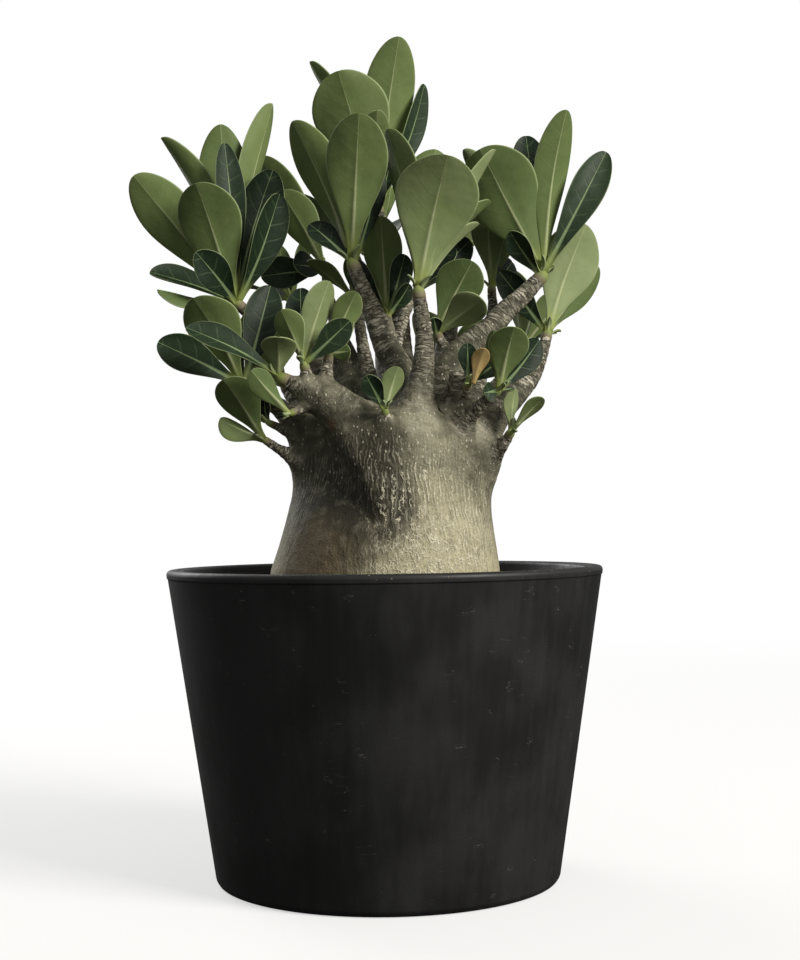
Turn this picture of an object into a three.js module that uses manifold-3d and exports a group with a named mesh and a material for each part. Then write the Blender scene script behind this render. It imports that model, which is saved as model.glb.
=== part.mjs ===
// A potted desert rose (adenium): tapered plastic pot, potting mix, swollen stem with its
// branches as one woody body, and a rosette of leaves on each leafy stem.
// Millimetres, +Z up, origin at the centre of the pot's underside, the seen side towards -Y.
import * as THREE from "three";
import { mergeVertices } from "three/addons/utils/BufferGeometryUtils.js";
import Module from "manifold-3d";

const wasm = await Module();
wasm.setup();

// Pot
const ROUND_SIDES = 48;
const POT_HEIGHT = 142.5;
const POT_BASE_RADIUS = 78.4;
const POT_RIM_RADIUS = 100;
const POT_FLOOR = 4.5;
const RIM_BAND_HEIGHT = 4;
const RIM_BAND_PROUD = 0.45;
const RIM_INNER_RADIUS = 91.4;
const CAVITY_TOP_RADIUS = 90.2;
const CAVITY_TOP = 131;
const CAVITY_FOOT_RADIUS = 74.5;
const CAVITY_FOOT = 8;
const DRAIN_HOLES = 4;
const DRAIN_HOLE_RADIUS = 5;
const DRAIN_CIRCLE_RADIUS = 48;

// Potting mix
const SOIL_LEVEL = 129;
const NEIGHBOUR_GAP = 0.4;

// Swollen stem: height, offset of its centre in X, radius
const STEM_SIDES = 30;
const STEM_PROFILE = [
  [95, 0, 26],
  [104, 0, 42],
  [129, 0, 53.5],
  [135, 0, 53.4],
  [142, 0.2, 52.7],
  [152, 1.4, 50.2],
  [165, 2.6, 47.3],
  [176, 3.7, 45.2],
  [186, 4.3, 43.9],
  [192, 4.8, 43.8],
  [197, 5.1, 43.2],
  [202, 5.2, 41.2],
  [206.5, 5.2, 37.5],
  [209.5, 4.8, 30.5],
  [211, 4.4, 20],
  [211.6, 4, 8],
];
// Creases between the lobes: angle from the front at z = 173, turn per mm of height,
// height where each begins and is full, depth, half-width in degrees to the left and right
const STEM_CREASES = [
  [-21, -0.9, 148, 186, 9, 28, 8],
  [33, 0.1, 148, 184, 5, 9, 20],
  [112, 0.3, 160, 192, 3.6, 14, 14],
  [196, -0.3, 166, 196, 4, 14, 14],
  [258, 0.2, 162, 190, 3, 13, 13],
];

// Branches: x, y, z and radius at each point, from inside the stem to the tip
const STOUT_BRANCH = 10;
const STOUT_SIDES = 8;
const THIN_SIDES = 6;
const TIP_SIDES = 5;
const BRANCHES = {
  far_left: [
    [-8, 14, 204, 16], [-15, 21, 232, 7.5], [-23, 24, 250, 5], [-42, 20, 256, 4],
    [-58, 13, 259, 3.1], [-66, 10, 265, 2.7],
  ],
  back_left: [[-18, 22, 242, 4], [-25, 34, 271, 2.5], [-27, 38, 284, 2.2]],
  left: [
    [-26, -3, 188, 13], [-35, -7, 202, 7.5], [-45, -12, 214, 4.6], [-53, -15, 220, 3.7],
    [-60, -16, 224, 3],
  ],
  low_left: [[-36, -10, 190, 4.4], [-46, -16, 196, 2.1], [-52, -20, 200, 1.8]],
  twig_left: [[-33, -8, 206, 4], [-43, -14, 205, 2], [-50, -18, 208, 1.6]],
  front_left: [
    [-4, -14, 196, 17], [-17, -25, 211, 10.5], [-27, -30, 220, 7.2], [-36, -32, 223, 4.6],
    [-42, -33, 226, 3.2],
  ],
  front_left_low: [[-33, -29, 218, 4], [-37, -33, 213.5, 2], [-39, -34.5, 212.5, 1.7]],
  front_left_b: [[-30, -30, 219, 4], [-33, -33, 227, 2.6], [-34, -34, 231, 2.3]],
  front_left_c: [[-24, -28, 217, 5], [-25, -31, 227, 2.8], [-24, -31, 236, 2.3]],
  centre_left: [
    [6, -9, 204, 16], [8, -9, 222, 9], [7, -8, 234, 6.6], [1, -6, 246, 5.8],
    [-4, -5, 260, 4.6], [-8, -5, 270, 3.7], [-12, -5, 280, 3.2],
  ],
  behind_centre: [[-4, 11, 212, 6], [-9, 16, 246, 2.9], [-12, 22, 267, 2.6]],
  low_centre: [[2, -5, 241, 3.8], [4, -3, 250, 2], [3, -2, 257, 1.8]],
  top: [
    [6, 13, 204, 14], [8, 20, 228, 7.4], [9, 27, 250, 5.2], [7, 32, 275, 4.4],
    [1, 36, 299, 3.8], [-1, 37, 314, 3],
  ],
  front: [
    [11, -18, 196, 16], [13, -25, 210, 9], [16, -27, 221, 6.4], [18, -27, 230, 5.2],
    [19, -26, 243, 4.2], [18, -25, 255, 3.5], [17, -25, 264, 3],
  ],
  inner: [[8, 2, 212, 6.5], [6, 6, 240, 2.8], [10, 10, 258, 2.6], [14, 14, 268, 2.4]],
  right: [
    [25, -5, 200, 18], [28, -6, 217, 11], [31, -4, 234, 8.2], [41, -2, 245, 6],
    [50, 0, 252, 5.5], [57, 2, 260, 5], [65, 4, 267, 4.4], [73, 5, 275, 3.4],
  ],
  low_right: [
    [38, -11, 190, 14], [46, -14, 203, 7.6], [53.3, -14, 213.3, 6.4], [60.7, -11, 220.7, 5.4],
    [68.4, -6, 228.3, 3.8], [73, -1, 236.9, 2.9], [76.4, 3, 247.6, 2.6],
  ],
  front_right: [[30, -22, 196, 7], [35, -27, 207, 4.4], [42, -32, 213, 3.2], [49, -37, 219, 2.1]],
  cut_stump: [[32, -16, 205, 7], [33, -24, 222, 4.1], [34, -27, 230, 3.7]],
  stump_shoot: [[33, -21, 212, 4], [37, -30, 218, 2.2], [37.5, -34.5, 222.5, 1.9]],
  far_right: [[46, -16, 189, 5], [54, -25, 198, 2.6], [56, -27, 201, 2.1]],
  back_right: [[38, 10, 204, 7], [49, 20, 246, 3], [53, 24, 263, 2.5], [53, 25, 273, 2.1]],
  mid_right: [[32, 0, 230, 4.8], [30, 5, 242, 2.8], [27, 8, 249, 2.2]],
  basal: [[2, -32, 200, 5], [1, -39, 207, 2.4], [1, -41, 210, 1.9]],
  rear_left: [[-12, 20, 198, 16], [-26, 38, 226, 7.5], [-37, 53, 252, 4.8], [-44, 61, 272, 3]],
  rear: [[5, 24, 198, 16], [4, 44, 232, 7.5], [1, 62, 264, 4.8], [-2, 72, 292, 3]],
  rear_right: [[20, 22, 198, 15], [28, 40, 230, 7], [33, 54, 258, 4.8], [35, 63, 284, 3.2]],
  rear_low_right: [[32, 18, 194, 14], [48, 34, 216, 7], [62, 47, 234, 4.6], [69, 54, 247, 3]],
  rear_low_left: [[-22, 22, 192, 13], [-37, 42, 214, 5.6], [-47, 54, 229, 3]],
  rear_low: [[20, 30, 190, 13], [30, 54, 212, 5.6], [35, 68, 229, 3]],
};

// Leaves whose pose is known: tip x, y, z, width, side turned to the front ("u" underside,
// "a" upper side), turn about the leaf's own length in degrees, bow, fold in degrees
const LEAVES = {
  far_left: [
    [-84, -12, 319, 30, "u", -8, 0.06, 10],
    [-114, -2, 325, 26, "u", -12, 0.06, 12],
    [-105, 22, 348, 20, "u", -58, 0.08, 30],
    [-76.5, 28, 356, 26, "u", 8, 0.05, 10],
    [-73, 12, 343, 15, "a", 20, 0.05, 16],
    [-53, 38, 368, 20, "u", 58, 0.04, 20],
    [-51, 22, 332, 24, "a", 22, -0.1, 14],
    [-47, 4, 317, 20, "a", 42, 0.06, 16],
    [-84, -14, 287, 17, "a", 10, 0.06, 16],
    [-108, 4, 280.5, 18, "a", 50, 0.05, 24],
    [-103, -6, 271, 14, "u", 62, 0.04, 24],
  ],
  left: [
    [-83.5, -30, 264, 26, "u", -18, 0.12, 10],
    [-101, -20, 245.5, 18, "a", 14, 0.06, 14],
    [-51, -8, 272, 18, "a", 10, 0.05, 14],
    [-78, 12, 258, 18, "a", 20, 0.06, 14],
  ],
  low_left: [
    [-70, -35, 227, 21, "u", -20, 0.06, 12],
    [-73, -26, 210, 14, "u", 40, 0.06, 24],
  ],
  twig_left: [
    [-64, -21.5, 226, 10, "a", 0, 0.05, 16],
    [-53, -24, 219, 7, "a", -30, 0.05, 16],
  ],
  front_left: [
    [-45, -48, 244, 16, "u", 0, 0.1, 10],
    [-86, -38, 250, 17, "a", 46, 0.05, 20],
  ],
  front_left_low: [[-57, -46, 230, 12, "u", 12, 0.06, 14]],
  front_left_b: [
    [-44, -40, 257, 14, "u", -20, 0.06, 12],
    [-23, -36, 270, 16, "u", 34, 0.05, 14],
    [-14, -38, 252, 13, "a", 10, 0.05, 14],
    [-36.5, -22, 269, 14, "a", -6, 0.05, 14],
  ],
  front_left_c: [
    [-11, -36, 265, 13, "u", 10, 0.06, 14],
    [-14, -30, 255, 9, "u", -30, 0.05, 14],
    [-14, -34, 239, 8, "u", 0, 0.05, 12],
  ],
  centre_left: [
    [-9, -22, 348, 29, "u", 0, 0.05, 10],
    [-40.5, 0, 350, 23, "u", -36, 0.06, 14],
    [-33, 3, 302, 13, "a", 20, 0.05, 16],
    [-1, 9, 336, 15, "a", 56, 0.05, 18],
  ],
  back_left: [
    [-48.5, 42, 326, 20, "u", -20, 0.06, 12],
    [-60, 52, 345, 20, "u", -40, 0.05, 16],
    [-58, 30, 282, 17, "a", 10, 0.06, 14],
    [-42, 26, 287, 16, "a", 30, 0.06, 14],
  ],
  top: [
    [-19.3, 20, 379, 38, "u", -6, 0.06, 9],
    [10, 30, 398, 26, "u", 12, 0.05, 14],
    [23, 46, 379, 15, "a", 48, 0.05, 14],
    [-33, 46, 391, 16, "u", -60, 0.05, 20],
    [-1, 8, 357, 16, "u", 20, 0.05, 16],
    [5, 24, 336, 7, "a", 30, 0.03, 10],
  ],
  front: [
    [30, -42, 324, 38, "u", 8, 0.07, 9],
    [3, -12, 343, 22, "u", -50, 0.06, 14],
    [26, -6, 335, 30, "u", 10, 0.06, 10],
    [51, -9, 309.6, 15, "u", 74, 0.05, 20],
    [45, -12, 299, 13, "u", 76, 0.05, 20],
    [52.5, -24, 330, 14, "u", 68, 0.03, 20],
  ],
  inner: [
    [35, 20, 294, 13, "a", -20, 0.05, 14],
    [43, 26, 298, 15, "a", 10, 0.05, 14],
  ],
  low_centre: [
    [0, 4, 306, 19, "u", 0, 0.05, 12],
    [-13, 9, 286, 13, "a", -30, 0.05, 16],
    [11, 5, 288, 12, "a", 20, 0.05, 14],
    [13, -4, 273, 10, "a", 40, 0.05, 14],
  ],
  right: [
    [46, -12, 333.5, 37, "u", -8, 0.09, 12],
    [40, 8, 338, 15, "u", -40, 0.05, 18],
    [86.5, -4, 353, 20, "u", 24, 0.05, 18],
    [70, 20, 347, 20, "a", 0, 0.05, 14],
    [107, 10, 336.5, 17.5, "a", 4, 0.04, 14],
    [60, -2, 297, 12, "a", -30, 0.05, 14],
    [70, 36, 326, 20, "a", 0, 0.06, 14],
  ],
  low_right: [
    [97.4, 16, 303, 29, "u", 14, 0.06, 9],
    [104.6, 24, 284, 17, "u", 20, 0.06, 14],
    [56, 15, 281, 14, "a", -10, -0.1, 10],
    [88, 34, 278, 15, "a", 10, 0.08, 14],
  ],
  front_right: [
    [57.5, -50, 247, 18, "u", 8, 0.07, 10],
    [49, -38, 247, 11, "u", -30, 0.05, 14],
    [44, -44, 219, 9, "a", 0, 0.05, 12],
    [70, -30, 243.5, 14, "a", 30, 0.06, 14],
  ],
  stump_shoot: [
    [37.5, -39.5, 241.5, 9, "a", 0, 0.05, 12],
    [54, -24, 237, 10, "a", 30, 0.05, 12],
  ],
  far_right: [
    [71, -36, 217, 8, "u", 30, 0.06, 12],
    [59, -29, 222, 9, "u", 40, 0.06, 14],
  ],
  back_right: [
    [51, 22, 315, 17, "u", 0, 0.05, 12],
    [63, 30, 311, 16, "u", 20, 0.05, 12],
    [64, 37, 289, 12, "a", 20, 0.05, 12],
  ],
  mid_right: [
    [42.5, 1, 284, 23, "u", 14, 0.06, 10],
    [46.3, -7, 265, 18, "u", 22, 0.06, 12],
    [24, 2, 258, 7, "a", 0, 0.05, 12],
  ],
  basal: [
    [-7, -48, 227, 10, "a", -10, 0.06, 12],
    [7, -44, 231, 10, "u", 20, 0.06, 12],
  ],
};

// Whorls on the far side: number of leaves, first azimuth in degrees, length, width
const WHORLS = {
  behind_centre: [4, 150, 28, 13],
  rear_left: [5, 300, 46, 22],
  rear: [7, 80, 64, 25],
  rear_right: [6, 140, 56, 24],
  rear_low_right: [5, 40, 42, 21],
  rear_low_left: [5, 70, 44, 21],
  rear_low: [5, 30, 46, 22],
};
const GOLDEN_ANGLE = 137.5;

// Leaf blade
const BROAD_LEAF = 24.5;
const BROAD_ROWS = [0, 0.25, 0.48, 0.68, 0.86, 0.985];
const NARROW_ROWS = [0, 0.35, 0.64, 0.86, 0.985];
const LEAF_WIDEST = 1.9;
const LEAF_FULLNESS = 0.73;
const TIP_ROUNDING = 0.23;
const LEAF_THICKNESS = 0.84;
const PETIOLE_WIDTH = 1.2;
const PETIOLE_SHARE = 0.11;
const MARGIN_WAVE = 0.04;

const COLOURS = {
  pot: "#262726",
  soil: "#4a3d30",
  wood: "#8f886c",
  leaf: "#5d7042",
  yellow_leaf: "#9a8048",
};

const radians = THREE.MathUtils.degToRad;
const vec = (x, y, z) => new THREE.Vector3(x, y, z);

// A repeatable draw between 0 and 1 from two numbers
function draw(a, b) {
  const s = Math.sin(a * 127.1 + b * 311.7) * 43758.5453;
  return s - Math.floor(s);
}

// A closed solid whose skin runs over rings of points, with a flat face across each end.
// otherDiagonal says which strips split the other way.
function skin(rings, endFaces, otherDiagonal = () => false) {
  const count = rings[0].length;
  const points = rings.flat();
  const triangles = [];
  for (let i = 0; i + 1 < rings.length; i++)
    for (let k = 0; k < count; k++) {
      const a = i * count + k;
      const b = i * count + ((k + 1) % count);
      const c = a + count;
      const d = b + count;
      if (otherDiagonal(k)) triangles.push(a, b, c, b, d, c);
      else triangles.push(a, b, d, a, d, c);
    }
  const last = (rings.length - 1) * count;
  for (const [a, b, c] of endFaces) {
    triangles.push(a, c, b);
    triangles.push(last + a, last + b, last + c);
  }
  return solidOf(points, triangles);
}

function solidOf(points, triangles) {
  let volume = 0;
  for (let i = 0; i < triangles.length; i += 3) {
    const [a, b, c] = [0, 1, 2].map((j) => points[triangles[i + j]]);
    volume += a.dot(b.clone().cross(c));
  }
  if (volume < 0)
    for (let i = 0; i < triangles.length; i += 3)
      [triangles[i + 1], triangles[i + 2]] = [triangles[i + 2], triangles[i + 1]];
  const vertProperties = new Float32Array(points.flatMap((p) => [p.x, p.y, p.z]));
  return new wasm.Manifold(
    new wasm.Mesh({ numProp: 3, vertProperties, triVerts: new Uint32Array(triangles) }),
  );
}

function fan(count) {
  const faces = [];
  for (let k = 1; k + 1 < count; k++) faces.push([0, k, k + 1]);
  return faces;
}

// A geometry made by three.js as a solid, turned so that its axis stands along Z
function solidFrom(geometry) {
  const bare = geometry.clone();
  bare.deleteAttribute("normal");
  bare.deleteAttribute("uv");
  const merged = mergeVertices(bare, 1e-4);
  const position = merged.getAttribute("position");
  const points = [];
  for (let i = 0; i < position.count; i++)
    points.push(vec().fromBufferAttribute(position, i));
  const triangles = [];
  const index = Array.from(merged.index.array);
  for (let i = 0; i < index.length; i += 3) {
    const [a, b, c] = index.slice(i, i + 3);
    if (a !== b && b !== c && c !== a) triangles.push(a, b, c);
  }
  return solidOf(points, triangles);
}

function turned(profile) {
  const points = profile.map(([r, z]) => new THREE.Vector2(r, z));
  return solidFrom(new THREE.LatheGeometry(points, ROUND_SIDES).rotateX(Math.PI / 2));
}

function potWallRadius(z) {
  return POT_BASE_RADIUS + ((POT_RIM_RADIUS - POT_BASE_RADIUS) * z) / POT_HEIGHT;
}

function cavityRadius(z) {
  const slope = (CAVITY_TOP_RADIUS - CAVITY_FOOT_RADIUS) / (CAVITY_TOP - CAVITY_FOOT);
  return CAVITY_FOOT_RADIUS + slope * (z - CAVITY_FOOT);
}

// Tapered wall with a proud band under the rounded rim, an open cavity and drain holes
function pot() {
  const band = POT_HEIGHT - RIM_BAND_HEIGHT;
  let body = turned([
    [0, 0],
    [POT_BASE_RADIUS - 2.6, 0],
    [POT_BASE_RADIUS - 0.8, 0.7],
    [potWallRadius(2.6), 2.6],
    [potWallRadius(band), band],
    [potWallRadius(band) + RIM_BAND_PROUD, band + 0.5],
    [POT_RIM_RADIUS, POT_HEIGHT - 1.6],
    [POT_RIM_RADIUS - 0.5, POT_HEIGHT - 0.5],
    [POT_RIM_RADIUS - 1.7, POT_HEIGHT],
    [RIM_INNER_RADIUS + 1, POT_HEIGHT],
    [RIM_INNER_RADIUS, POT_HEIGHT - 0.8],
    [CAVITY_TOP_RADIUS, CAVITY_TOP],
    [CAVITY_FOOT_RADIUS, CAVITY_FOOT],
    [CAVITY_FOOT_RADIUS - 3, POT_FLOOR],
    [0, POT_FLOOR],
  ]);
  for (let i = 0; i < DRAIN_HOLES; i++) {
    const angle = radians(45 + (360 / DRAIN_HOLES) * i);
    const drill = new THREE.CylinderGeometry(DRAIN_HOLE_RADIUS, DRAIN_HOLE_RADIUS, 12, 12)
      .rotateX(Math.PI / 2)
      .translate(Math.cos(angle) * DRAIN_CIRCLE_RADIUS, Math.sin(angle) * DRAIN_CIRCLE_RADIUS, 2);
    body = body.subtract(solidFrom(drill));
  }
  return body;
}

// Potting mix up to its level, with a plain hole shaped as the buried end of the stem
function soil() {
  const buried = STEM_PROFILE.filter(([z]) => z < SOIL_LEVEL).reverse();
  const gap = NEIGHBOUR_GAP;
  const hole = buried.map(([z, , r]) => [r + gap, z]);
  const stemRadius = STEM_PROFILE.find(([z]) => z >= SOIL_LEVEL)[2];
  const foot = buried[buried.length - 1];
  return turned([
    [0, POT_FLOOR + gap],
    [CAVITY_FOOT_RADIUS - 3 - gap, POT_FLOOR + gap],
    [CAVITY_FOOT_RADIUS - gap, CAVITY_FOOT + gap],
    [cavityRadius(SOIL_LEVEL - 4) - gap, SOIL_LEVEL - 4],
    [cavityRadius(SOIL_LEVEL - 4) - gap - 1.5, SOIL_LEVEL - 2],
    [74, SOIL_LEVEL - 0.5],
    [stemRadius + 6, SOIL_LEVEL + 0.6],
    [stemRadius + gap, SOIL_LEVEL],
    ...hole,
    [foot[2] + gap, foot[0] - gap],
    [0, foot[0] - gap],
  ]);
}

// Offset of the stem's surface from its round profile: a front lobe and the creases
function stemRelief(angle, z) {
  let offset = 0;
  for (const [at173, turn, begins, full, depth, left, right] of STEM_CREASES) {
    const away = ((angle - at173 - turn * (z - 173) + 540) % 360) - 180;
    const part = away / (away < 0 ? left : right);
    offset -= depth * THREE.MathUtils.smoothstep(z, begins, full) * Math.exp(-(part ** 2));
  }
  const swell = THREE.MathUtils.smoothstep(z, 136, 160);
  return offset + swell * 1.6 * Math.cos(radians(angle - 12)) ** 2;
}

function stem() {
  const rings = STEM_PROFILE.map(([z, x, r]) => {
    const ring = [];
    for (let k = 0; k < STEM_SIDES; k++) {
      const angle = (360 * k) / STEM_SIDES;
      const reach = r + (stemRelief(angle, z) * r) / 46;
      ring.push(vec(x + reach * Math.sin(radians(angle)), -reach * Math.cos(radians(angle)), z));
    }
    return ring;
  });
  return skin(rings, fan(STEM_SIDES));
}

// Evenly spaced steps along a branch: centre, direction, two directions across, radius
function branchSteps(points, steps) {
  const curve = new THREE.CatmullRomCurve3(
    points.map(([x, y, z]) => vec(x, y, z)),
    false,
    "catmullrom",
    0.5,
  );
  const made = [];
  let across = vec(1, 0, 0);
  for (let i = 0; i <= steps; i++) {
    const t = i / steps;
    const place = Math.min(t * (points.length - 1), points.length - 1.001);
    const from = Math.floor(place);
    const radius = THREE.MathUtils.lerp(points[from][3], points[from + 1][3], place - from);
    const along = curve.getTangent(t);
    across = across.addScaledVector(along, -across.dot(along)).normalize();
    made.push({
      centre: curve.getPoint(t),
      along,
      across: across.clone(),
      other: along.clone().cross(across),
      radius,
    });
  }
  return made;
}

function ringAround({ centre, across, other }, radius, sides) {
  const ring = [];
  for (let k = 0; k < sides; k++) {
    const angle = (2 * Math.PI * k) / sides;
    ring.push(
      centre
        .clone()
        .addScaledVector(across, radius * Math.cos(angle))
        .addScaledVector(other, radius * Math.sin(angle)),
    );
  }
  return ring;
}

function branch(points) {
  const sides = points[0][3] > STOUT_BRANCH ? STOUT_SIDES : THIN_SIDES;
  const rings = branchSteps(points, points.length - 1).map((s) => ringAround(s, s.radius, sides));
  return skin(rings, fan(sides));
}

function woodyBody() {
  let body = stem();
  for (const points of Object.values(BRANCHES)) body = body.add(branch(points));
  return body;
}

// Where a branch ends
function branchEnd(points) {
  const steps = branchSteps(points, points.length * 4);
  return steps[steps.length - 1];
}

// The green growing tip that the leaves stand on
function growingTip(end) {
  const tall = 1.8 + 1.3 * end.radius;
  const outline = [
    [0.3, 1],
    [0.55 * tall, 1.1],
    [tall, 0.4],
  ];
  const rings = outline.map(([s, wide]) =>
    ringAround(
      { ...end, centre: end.centre.clone().addScaledVector(end.along, s) },
      end.radius * wide,
      TIP_SIDES,
    ),
  );
  return { solid: skin(rings, fan(TIP_SIDES)), tall };
}

// A blade from base to tip. upper points out of its upper side; width is the widest across,
// bow bends it along its length, fold lifts both halves towards the upper side.
function blade(base, tip, upper, width, bow, fold, seed) {
  const rows = width > BROAD_LEAF ? BROAD_ROWS : NARROW_ROWS;
  const chord = tip.clone().sub(base);
  const length = chord.length();
  const side = chord.clone().cross(upper).normalize();
  const petiole = PETIOLE_WIDTH + PETIOLE_SHARE * width;
  const rings = rows.map((t) => {
    const fullness = LEAF_FULLNESS - TIP_ROUNDING * t ** 3;
    const outline = Math.sin(Math.PI * t ** LEAF_WIDEST) ** fullness;
    const half = Math.hypot(petiole * (1 - t), width * outline) / 2;
    const thick = LEAF_THICKNESS * (1 + 0.5 * (1 - THREE.MathUtils.smoothstep(t, 0, 0.25)));
    const middle = base
      .clone()
      .addScaledVector(chord, t)
      .addScaledVector(upper, bow * length * Math.sin(Math.PI * t));
    const point = (v, face) => {
      const wave = MARGIN_WAVE * width * outline * Math.sin(7 * t + 6.28 * draw(seed, 2) + 1.7 * v);
      const lift = Math.abs(v) * half * Math.sin(radians(fold)) + Math.abs(v) * wave;
      return middle
        .clone()
        .addScaledVector(side, v * half * Math.cos(radians(fold)))
        .addScaledVector(upper, lift + (face * thick) / 2);
    };
    return [point(-1, 1), point(0, 1), point(1, 1), point(1, -1), point(0, -1), point(-1, -1)];
  });
  const ends = [
    [0, 1, 4],
    [0, 4, 5],
    [1, 2, 3],
    [1, 3, 4],
  ];
  return skin(rings, ends, (k) => k === 3 || k === 4);
}

// The direction of a leaf's upper side, from the side that it turns to the front
function upperSide(base, tip, shown, turn) {
  const along = tip.clone().sub(base).normalize();
  const front = vec(0, -1, 0);
  front.addScaledVector(along, -front.dot(along)).normalize();
  front.applyAxisAngle(along, radians(turn));
  return shown === "a" ? front : front.negate();
}

function knownLeaves(end, tall, rows, seed) {
  return rows.map(([x, y, z, width, shown, turn, bow, fold], i) => {
    const up = tall * (0.75 - (0.4 * i) / rows.length);
    const base = end.centre.clone().addScaledVector(end.along, up);
    const tip = vec(x, y, z);
    return blade(base, tip, upperSide(base, tip, shown, turn), width, bow, fold, seed + i);
  });
}

// Leaves spiralling out from short steep inner ones to long low outer ones
function whorl(end, tall, [count, first, length, width], seed) {
  const leaves = [];
  for (let i = 0; i < count; i++) {
    const age = i / (count - 1);
    const turn = radians(first + GOLDEN_ANGLE * i);
    const lean = radians(10 + 38 * age);
    const reach = length * (0.62 + 0.38 * age) * (0.92 + 0.16 * draw(seed, i));
    const out = end.across
      .clone()
      .multiplyScalar(Math.cos(turn))
      .addScaledVector(end.other, Math.sin(turn));
    const along = end.along
      .clone()
      .multiplyScalar(Math.cos(lean))
      .addScaledVector(out, Math.sin(lean));
    const upper = end.along.clone().addScaledVector(along, -end.along.dot(along)).normalize();
    const base = end.centre.clone().addScaledVector(end.along, tall * (0.75 - 0.4 * age));
    const tip = base.clone().addScaledVector(along, reach);
    leaves.push(blade(base, tip, upper, width * (0.7 + 0.3 * age), 0.07, 14, seed + i));
  }
  return leaves;
}

function rosette(name, seed) {
  const end = branchEnd(BRANCHES[name]);
  const tip = growingTip(end);
  const leaves = [
    ...knownLeaves(end, tip.tall, LEAVES[name] ?? [], seed),
    ...(WHORLS[name] ? whorl(end, tip.tall, WHORLS[name], seed + 40) : []),
  ];
  return leaves.reduce((whole, leaf) => whole.add(leaf), tip.solid);
}

// The dying leaf beside the cut stump
function yellowLeaf() {
  const base = vec(39.9, -38.5, 223.5);
  const tip = vec(44.7, -45.2, 238.5);
  return blade(base, tip, upperSide(base, tip, "u", 10), 8, 0.06, 12, 900);
}

function meshOf(name, solid, colour, roughness) {
  const { vertProperties, triVerts } = solid.getMesh();
  const geometry = new THREE.BufferGeometry();
  geometry.setAttribute("position", new THREE.BufferAttribute(new Float32Array(vertProperties), 3));
  geometry.setIndex(new THREE.BufferAttribute(new Uint32Array(triVerts), 1));
  geometry.computeVertexNormals();
  const material = new THREE.MeshStandardMaterial({ color: colour, roughness, metalness: 0 });
  const mesh = new THREE.Mesh(geometry, material);
  mesh.name = name;
  return mesh;
}

const plant = new THREE.Group();
plant.name = "potted_desert_rose";
plant.add(meshOf("pot", pot(), COLOURS.pot, 0.6));
plant.add(meshOf("soil", soil(), COLOURS.soil, 1));
plant.add(meshOf("woody_body", woodyBody(), COLOURS.wood, 0.85));
Object.keys(BRANCHES).forEach((name, i) => {
  if (LEAVES[name] || WHORLS[name])
    plant.add(meshOf("leaves_" + name, rosette(name, 100 * i), COLOURS.leaf, 0.55));
});
plant.add(meshOf("yellow_leaf", yellowLeaf(), COLOURS.yellow_leaf, 0.7));

export default plant;
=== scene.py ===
# Potted desert rose: the finished look of the pot, the potting mix, the swollen stem with its
# branches, and the leaf rosettes. Shapes are worked out in millimetres in the part's own frame,
# the seen side towards -Y, and put into the meshes in metres.
import math

import bpy
import numpy as np
from mathutils import Matrix


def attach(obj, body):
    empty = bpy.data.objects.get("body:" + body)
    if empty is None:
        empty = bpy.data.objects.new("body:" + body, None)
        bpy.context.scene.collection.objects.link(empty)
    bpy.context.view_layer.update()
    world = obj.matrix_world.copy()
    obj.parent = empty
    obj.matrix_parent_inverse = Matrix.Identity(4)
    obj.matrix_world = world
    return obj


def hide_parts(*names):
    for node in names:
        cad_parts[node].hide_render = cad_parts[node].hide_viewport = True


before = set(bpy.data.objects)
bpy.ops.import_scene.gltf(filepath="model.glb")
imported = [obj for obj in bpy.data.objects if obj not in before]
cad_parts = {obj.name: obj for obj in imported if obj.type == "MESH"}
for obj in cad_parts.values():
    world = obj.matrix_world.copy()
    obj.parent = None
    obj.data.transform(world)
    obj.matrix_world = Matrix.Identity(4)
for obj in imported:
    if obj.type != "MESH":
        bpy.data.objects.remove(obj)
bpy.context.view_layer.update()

MM = 0.001

# Pot
POT_SIDES = 240
POT_HEIGHT = 142.5
POT_BASE_RADIUS = 78.4
POT_RIM_RADIUS = 100
POT_FLOOR = 4.5
RIM_BAND_HEIGHT = 4
RIM_BAND_PROUD = 0.45
RIM_INNER_RADIUS = 91.4
CAVITY_TOP_RADIUS = 90.2
CAVITY_TOP = 131
CAVITY_FOOT_RADIUS = 74.5
CAVITY_FOOT = 8
DRAIN_HOLES = 4
DRAIN_HOLE_RADIUS = 5
DRAIN_CIRCLE_RADIUS = 48

# Potting mix: its level, the gap to its neighbours, and the loose grains on it
SOIL_LEVEL = 129
NEIGHBOUR_GAP = 0.4
SOIL_SIDES = 160
GRIT_COUNT = 1500
GRIT_INNER_RADIUS = 56
GRIT_OUTER_RADIUS = 87

# Swollen stem: height, offset of its centre in X, radius
STEM_PROFILE = [
    [95, 0, 26],
    [104, 0, 42],
    [129, 0, 53.5],
    [135, 0, 53.4],
    [142, 0.2, 52.7],
    [152, 1.4, 50.2],
    [165, 2.6, 47.3],
    [176, 3.7, 45.2],
    [186, 4.3, 43.9],
    [192, 4.8, 43.8],
    [197, 5.1, 43.2],
    [202, 5.2, 41.2],
    [206.5, 5.2, 37.5],
    [209.5, 4.8, 30.5],
    [211, 4.4, 20],
    [211.6, 4, 8],
]
# Heights between which the stem's relief changes, and the stem radius at which it is full size
RELIEF_LOW = 95
RELIEF_HIGH = 211
RELIEF_RADIUS = 46
# Creases between the lobes: angle from the front at CREASE_LEVEL, turn per mm of height, the
# heights where each begins and is full, depth, half-width in degrees to the left and right
CREASE_LEVEL = 173
STEM_CREASES = [
    [-21, -0.9, 148, 186, 9, 28, 8],
    [33, 0.1, 148, 184, 5, 9, 20],
    [112, 0.3, 160, 192, 3.6, 14, 14],
    [196, -0.3, 166, 196, 4, 14, 14],
    [258, 0.2, 162, 190, 3, 13, 13],
]

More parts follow.
